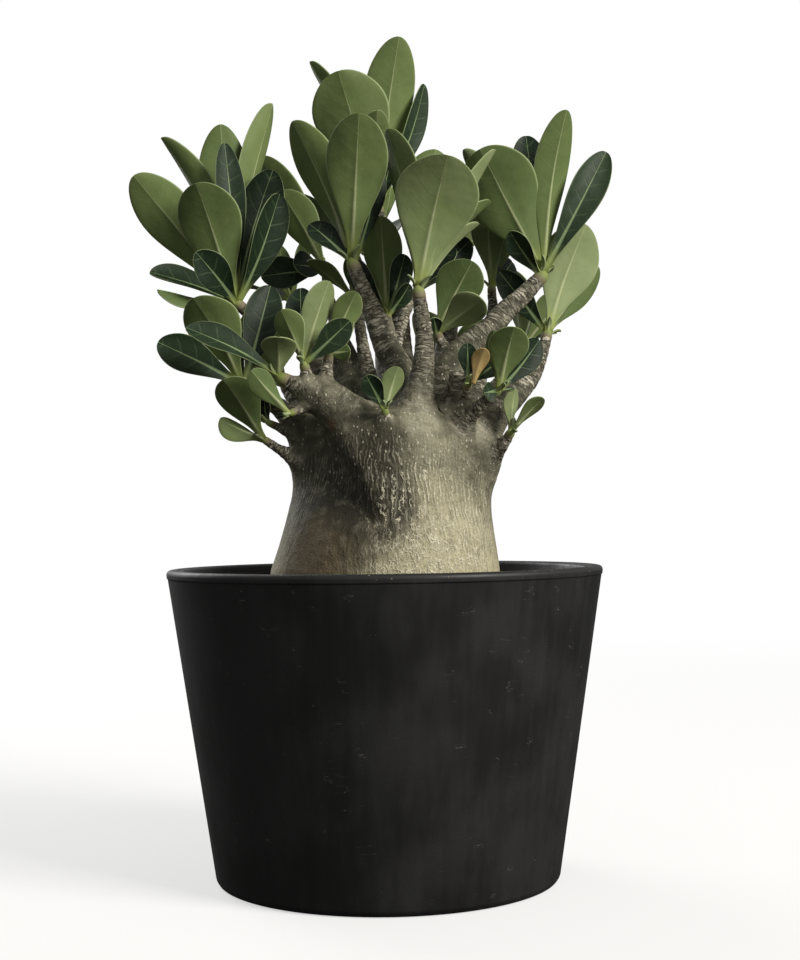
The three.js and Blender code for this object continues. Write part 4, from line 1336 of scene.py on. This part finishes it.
def adenium_bark():
    """Living bark of a desert rose: a thin waxy skin, olive grey to cream and matte. The eye
    reads pale wavering corky seams up the stem, small pale pores near the shoulders, and close
    rings of leaf scars on the branches, dark between and pale in short dashes."""
    material, tree = new_finish("adenium bark")
    mm = places_in_mm(tree)
    x, y, z = add(tree, "SeparateXYZ", {0: mm}).outputs
    ring_facts = add(tree, "Attribute", attribute_name="ring").outputs["Vector"]
    growth_facts = add(tree, "Attribute", attribute_name="growth").outputs["Vector"]
    length, cosine, sine = add(tree, "SeparateXYZ", {0: ring_facts}).outputs
    on_branch, youth, on_stem = add(tree, "SeparateXYZ", {0: growth_facts}).outputs

    # Clouds 30 mm wide, mottled at 5 mm, with a fine 1 mm grain
    cloud = add(tree, "TexNoise", {"Vector": mm, "Scale": 1 / 30, "Detail": 2.0})
    mottle = add(tree, "TexNoise", {"Vector": mm, "Scale": 1 / 5, "Detail": 4.0})
    grain = add(tree, "TexNoise", {"Vector": mm, "Scale": 1.0, "Detail": 3.0})
    cloudy = add(tree, "Math", {0: cloud, 1: 1.2, 2: mottle}, operation="MULTIPLY_ADD")
    cloudy = add(tree, "MapRange", {0: cloudy, 1: 0.85, 2: 1.4})
    # A noise in three directions that makes the outlines of coloured places irregular
    stirred = add(tree, "TexNoise", {"Vector": mm, "Scale": 1 / 16, "Detail": 6.0, "Roughness": 0.65})
    stirred = stirred.outputs["Color"]
    loose = add(tree, "VectorMath", {
        0: stirred,
        1: [PLACE_STIR] * 3,
        2: mm,
    }, operation="MULTIPLY_ADD")

    ground = bark_ground(tree, mm, z, on_stem, cloudy, stirred, loose)
    cork, furrow = corky_seams(tree, mm, x, y, z, on_stem, loose)
    dot = bark_pores(tree, mm, z)
    groove, pale = leaf_scars(tree, mm, length, cosine, sine, youth, on_branch)
    young_wood = through(
        add(tree, "ValToRGB", {0: cloudy}),
        (0.0, "#625f4f"), (0.5, "#7f7b6a"), (1.0, "#9b9684"),
    )
    young = add(tree, "Math", {0: youth, 1: on_branch}, operation="MULTIPLY")
    tone = add(tree, "Mix", {0: young, 6: ground, 7: young_wood}, data_type="RGBA")
    # Pale and dark mottling of 5 mm, dark specks of 1 mm, and painted shade in the furrows
    # between the seams
    light = add(tree, "MapRange", {0: mottle, 1: 0.5, 2: 0.7, 4: 0.22})
    dark = add(tree, "MapRange", {0: mottle, 1: 0.48, 2: 0.34, 4: 0.3})
    speck = add(tree, "MapRange", {0: grain, 1: 0.46, 2: 0.64, 4: 0.3})
    # Painted shade in the furrows between the corky seams
    sunk = add(tree, "Math", {0: furrow, 1: 0.22}, operation="MULTIPLY")
    for amount, code in (
        (light, "#a19c87"),
        (dark, "#3f3c2e"),
        (speck, "#3f3a2c"),
        (sunk, "#3f3a2c"),
        (groove, "#353027"),
        (pale, "#c6bfac"),
        (cork, "#d9d3b8"),
        (dot, "#dcd6be"),
    ):
        tone = add(tree, "Mix", {0: amount, 6: tone, 7: colour(code)}, data_type="RGBA")

    # Relief in mm: leaf scars, corky seams, pores, upright flutes, mottling and grain
    flute = add(tree, "Mapping", {"Vector": mm, "Scale": (1 / 3, 1 / 3, 1 / 26)})
    flute = add(tree, "TexNoise", {"Vector": flute, "Scale": 1.0, "Detail": 3.0})
    flute = add(tree, "Math", {0: flute, 1: on_stem}, operation="MULTIPLY")
    relief = add(tree, "Math", {0: groove, 1: -0.3}, operation="MULTIPLY")
    heights = (cork, 0.4), (furrow, -0.25), (dot, 0.3), (flute, 0.8), (mottle, 0.7), (grain, 0.45)
    for part, height in heights:
        relief = add(tree, "Math", {0: part, 1: height, 2: relief}, operation="MULTIPLY_ADD")
    bump = add(tree, "Bump", {"Height": relief, "Distance": 0.001, "Strength": 1.0})
    shader = add(tree, "BsdfPrincipled", {
        "Base Color": tone,
        "Roughness": 0.72,
        "Specular IOR Level": 0.25,
        "Normal": bump,
    })
    add(tree, "OutputMaterial", {"Surface": shader})
    return material


def side_veins(tree, along, off, reach, cloud):
    """Side veins that leave the rib every 8.4 mm, curve towards the tip and fade before the
    margin. off is the distance from the rib in mm, reach the same as a share of the half-width."""
    bend = add(tree, "Math", {0: off, 1: off}, operation="MULTIPLY")
    run = add(tree, "Math", {0: off, 1: -0.55, 2: along}, operation="MULTIPLY_ADD")
    run = add(tree, "Math", {0: bend, 1: -0.022, 2: run}, operation="MULTIPLY_ADD")
    run = add(tree, "Math", {0: cloud, 1: 4.0, 2: run}, operation="MULTIPLY_ADD")
    beat = add(tree, "Math", {0: run, 1: 4.2}, operation="PINGPONG")
    vein = add(tree, "MapRange", {0: beat, 1: 0.0, 2: 0.7, 3: 1.0, 4: 0.0})
    fade = add(tree, "MapRange", {0: reach, 1: 0.6, 2: 0.93, 3: 1.0, 4: 0.0})
    return add(tree, "Math", {0: vein, 1: fade}, operation="MULTIPLY")


def leathery_leaf():
    """Thick smooth leaves with a wax layer. Above they are dark green with a soft sheen and
    faint pale veins; below they are paler and matte. Rib, margin and stalk are yellow-green."""
    material, tree = new_finish("leathery leaf")
    place = add(tree, "Attribute", attribute_name="place").outputs["Vector"]
    form = add(tree, "Attribute", attribute_name="form").outputs["Vector"]
    along, across, side = add(tree, "SeparateXYZ", {0: place}).outputs
    t, v, chance = add(tree, "SeparateXYZ", {0: form}).outputs
    mm = places_in_mm(tree)
    cloud = add(tree, "TexNoise", {"Vector": mm, "Scale": 1 / 12, "Detail": 2.0})
    fleck = add(tree, "TexNoise", {"Vector": mm, "Scale": 1 / 1.2, "Detail": 3.0})
    above = add(tree, "MapRange", {0: side, 1: -0.2, 2: 0.2})

    shade = add(tree, "Math", {0: cloud, 1: 0.6, 2: chance}, operation="MULTIPLY_ADD")
    shade = add(tree, "MapRange", {0: shade, 1: 0.2, 2: 1.4})
    under = through(add(tree, "ValToRGB", {0: shade}), (0.0, "#55663a"), (0.5, "#6f7f4b"), (1.0, "#8b976a"))
    upper = through(add(tree, "ValToRGB", {0: shade}), (0.0, "#142114"), (0.5, "#1d2c1b"), (1.0, "#2b3b24"))
    tone = add(tree, "Mix", {0: above, 6: under, 7: upper}, data_type="RGBA")

    off = add(tree, "Math", {0: across}, operation="ABSOLUTE")
    reach = add(tree, "Math", {0: v}, operation="ABSOLUTE")
    vein = side_veins(tree, along, off, reach, cloud)
    # A fine net of veins between them
    net = add(tree, "TexVoronoi", {"Vector": mm, "Scale": 1 / 2.2}, feature="DISTANCE_TO_EDGE")
    net = add(tree, "MapRange", {0: net, 1: 0.0, 2: 0.08, 3: 0.3, 4: 0.0})
    lines = add(tree, "Math", {0: vein, 1: net}, operation="MAXIMUM")
    vein_tone = add(tree, "Mix", {0: above, 6: colour("#8f9f68"), 7: colour("#5a6f4a")}, data_type="RGBA")
    amount = add(tree, "MapRange", {0: above, 3: 0.08, 4: 0.3})
    amount = add(tree, "Math", {0: lines, 1: amount}, operation="MULTIPLY")
    tone = add(tree, "Mix", {0: amount, 6: tone, 7: vein_tone}, data_type="RGBA")

    # Rib: 2.4 mm wide at the base, tapering to a hair at the tip
    wide = add(tree, "MapRange", {0: t, 2: 0.85, 3: 1.25, 4: 0.12})
    inside = add(tree, "Math", {0: off, 1: wide}, operation="DIVIDE")
    rib = add(tree, "MapRange", {0: inside, 1: 0.55, 2: 1.1, 3: 0.85, 4: 0.0})
    rib_tone = add(tree, "Mix", {0: above, 6: colour("#aab284"), 7: colour("#869a6c")}, data_type="RGBA")
    tone = add(tree, "Mix", {0: rib, 6: tone, 7: rib_tone}, data_type="RGBA")
    # Margin: a pale line about half a millimetre wide, the leaf's own pale edge brightened
    # with a painted rim highlight
    margin = add(tree, "MapRange", {0: reach, 1: 0.95, 2: 0.985, 3: 0.0, 4: 0.75})
    tone = add(tree, "Mix", {0: margin, 6: tone, 7: colour("#a3b080")}, data_type="RGBA")
    # Stalk
    stalk = add(tree, "MapRange", {0: t, 1: 0.04, 2: 0.26, 3: 0.9, 4: 0.0}, interpolation_type="SMOOTHSTEP")
    tone = add(tree, "Mix", {0: stalk, 6: tone, 7: colour("#8d9850")}, data_type="RGBA")
    # The growing tip is bark brown at its foot
    foot = add(tree, "MapRange", {0: along, 1: -0.35, 2: -0.75})
    tone = add(tree, "Mix", {0: foot, 6: tone, 7: colour("#7f765d")}, data_type="RGBA")
    rough = add(tree, "MapRange", {0: above, 3: 0.6, 4: 0.48})
    rough = add(tree, "Math", {0: fleck, 1: 0.08, 2: rough}, operation="MULTIPLY_ADD")
    way = add(tree, "MapRange", {0: above, 3: 0.3, 4: -1.0})
    relief = add(tree, "Math", {0: vein, 1: way}, operation="MULTIPLY")
    relief = add(tree, "Math", {0: relief, 1: 0.1}, operation="MULTIPLY")
    relief = add(tree, "Math", {0: fleck, 1: 0.06, 2: relief}, operation="MULTIPLY_ADD")
    relief = add(tree, "Math", {0: cloud, 1: 0.8, 2: relief}, operation="MULTIPLY_ADD")
    bump = add(tree, "Bump", {"Height": relief, "Distance": 0.001, "Strength": 0.8})
    shader = add(tree, "BsdfPrincipled", {
        "Base Color": tone,
        "Roughness": rough,
        "Specular IOR Level": 0.22,
        "Normal": bump,
    })
    add(tree, "OutputMaterial", {"Surface": shader})
    return material


def dying_leaf():
    """A leaf that is about to fall: ochre, paler at the rib, dry and matte."""
    material, tree = new_finish("dying leaf")
    form = add(tree, "Attribute", attribute_name="form").outputs["Vector"]
    v = add(tree, "SeparateXYZ", {0: form}).outputs[1]
    place = add(tree, "TexCoord").outputs["Object"]
    blotch = add(tree, "TexNoise", {"Vector": place, "Scale": 300.0, "Detail": 3.0})
    tone = through(add(tree, "ValToRGB", {0: blotch}), (0.3, "#a98d55"), (0.55, "#bda268"), (0.8, "#987a48"))
    near = add(tree, "Math", {0: v}, operation="ABSOLUTE")
    rib = add(tree, "MapRange", {0: near, 1: 0.06, 2: 0.14, 3: 0.6, 4: 0.0})
    tone = add(tree, "Mix", {0: rib, 6: tone, 7: colour("#c4b27e")}, data_type="RGBA")
    shader = add(tree, "BsdfPrincipled", {"Base Color": tone, "Roughness": 0.6})
    add(tree, "OutputMaterial", {"Surface": shader})
    return material


# Light, floor and camera

def pale_paint():
    """Matt pale paint mixed with plain white light, six tenths of it near the plant and all of it
    far away, so that the floor is evenly bright and has no edge. Other rays see it dark, so it
    throws little light back onto the plant."""
    material, tree = new_finish("pale floor")
    place = add(tree, "TexCoord").outputs["Object"]
    apart = add(tree, "VectorMath", {0: place}, operation="LENGTH").outputs["Value"]
    far = add(tree, "MapRange", {0: apart, 1: 0.15, 2: 1.6, 3: 0.6}, interpolation_type="SMOOTHSTEP")
    seen = add(tree, "LightPath").outputs["Is Camera Ray"]
    tint = add(tree, "Mix", {
        0: seen,
        6: colour("#3f3a34"),
        7: colour("#f6f5f2"),
    }, data_type="RGBA")
    matte = add(tree, "BsdfDiffuse", {"Color": tint})
    strength = add(tree, "MapRange", {0: seen, 3: 0.06, 4: 1.0})
    white = add(tree, "Emission", {"Color": (1, 1, 1, 1), "Strength": strength})
    mixed = add(tree, "MixShader", {0: far, 1: matte, 2: white})
    add(tree, "OutputMaterial", {"Surface": mixed})
    return material


def pale_floor():
    """A round floor: rings about the origin, with a fan of faces in the middle."""
    rings = np.array(FLOOR_RINGS) / MM
    angle = 2 * np.pi * np.arange(FLOOR_SIDES) / FLOOR_SIDES
    points = [vec(0, 0, 0)[None]]
    for reach in rings[1:]:
        points.append(np.stack([reach * np.cos(angle), reach * np.sin(angle), 0 * angle], axis=1))
    k = np.arange(FLOOR_SIDES)
    beyond = (k + 1) % FLOOR_SIDES
    triangles = np.stack([0 * k, 1 + k, 1 + beyond], axis=1)
    quads = []
    for i in range(len(rings) - 2):
        inner = 1 + FLOOR_SIDES * i
        outer = inner + FLOOR_SIDES
        quads.append(np.stack([inner + k, outer + k, outer + beyond, inner + beyond], axis=1))
    made = object_of("floor", {
        "points": np.concatenate(points),
        "quads": np.concatenate(quads),
        "triangles": triangles,
        "facts": {},
    })
    made.data.materials.append(pale_paint())


def soft_light(name, place, target, size, power, tint):
    """A square lamp that faces its target."""
    lamp = bpy.data.lights.new(name, "AREA")
    lamp.shape = "SQUARE"
    lamp.size = size
    lamp.energy = power
    lamp.color = colour(tint)[:3]
    made = bpy.data.objects.new(name, lamp)
    made.location = place
    aim = unit(vec(*target) - vec(*place))
    right = unit(np.cross(aim, vec(0, 0, 1)))
    up = np.cross(right, aim)
    turn = np.stack([right, up, -aim], axis=1)
    made.rotation_euler = Matrix(turn.tolist()).to_euler()
    bpy.context.scene.collection.objects.link(made)


def studio():
    """White surroundings that light gently, a soft lamp high on the right, a weak one behind."""
    world = bpy.data.worlds.new("studio")
    world.use_nodes = True
    tree = world.node_tree
    tree.nodes.clear()
    seen = add(tree, "LightPath").outputs["Is Camera Ray"]
    strength = add(tree, "MapRange", {0: seen, 3: 0.34, 4: 1.0})
    ground = add(tree, "Background", {"Color": (1, 1, 1, 1), "Strength": strength})
    add(tree, "OutputWorld", {"Surface": ground})
    bpy.context.scene.world = world
    for name, lamp in LAMPS.items():
        soft_light(name, *lamp)
    bpy.context.scene.view_settings.view_transform = "Standard"


def camera():
    """A viewpoint 0.75 m in front and a little above the rim, with a lens of 60 mm."""
    forward = vec(
        math.sin(CAMERA_YAW) * math.cos(CAMERA_PITCH),
        math.cos(CAMERA_YAW) * math.cos(CAMERA_PITCH),
        math.sin(CAMERA_PITCH),
    )
    right = vec(math.cos(CAMERA_YAW), -math.sin(CAMERA_YAW), 0)
    up = np.cross(right, forward)
    turned_right = right * math.cos(CAMERA_ROLL) + up * math.sin(CAMERA_ROLL)
    turned_up = up * math.cos(CAMERA_ROLL) - right * math.sin(CAMERA_ROLL)
    seen = bpy.data.cameras.new("photo view")
    seen.sensor_fit = "VERTICAL"
    seen.sensor_height = SENSOR
    seen.sensor_width = SENSOR
    seen.lens = SENSOR * FOCAL_PIXELS / PICTURE_HEIGHT
    seen.clip_start = 0.01
    seen.clip_end = 100
    made = bpy.data.objects.new("photo view", seen)
    turn = Matrix(np.stack([turned_right, turned_up, -forward], axis=1).tolist()).to_4x4()
    made.matrix_world = Matrix.Translation(CAMERA_PLACE) @ turn
    bpy.context.scene.collection.objects.link(made)
    bpy.context.scene.camera = made


# The plant in its pot

placed(drilled(object_of("pot_moulded", pot_shape())), matte_black_plastic(), "pot", "pot")
placed(object_of("soil_top", soil_shape()), potting_mix(), "soil", "soil")
placed(object_of("soil_grit", grit_shape()), mixed_grit(), "soil", "soil")
placed(object_of("wood_grown", wood_shape()), adenium_bark(), "bark", "woody_body")
leaf = leathery_leaf()
for index, branch_name in enumerate(BRANCHES):
    if branch_name in LEAVES or branch_name in WHORLS:
        rosette = object_of("rosette_" + branch_name, rosette_shape(branch_name, 100 * index))
        placed(rosette, leaf, "leaf", "leaves_" + branch_name)
placed(object_of("leaf_dying", yellow_leaf_shape()), dying_leaf(), "leaf_yellow", "yellow_leaf")
pale_floor()
studio()
camera()
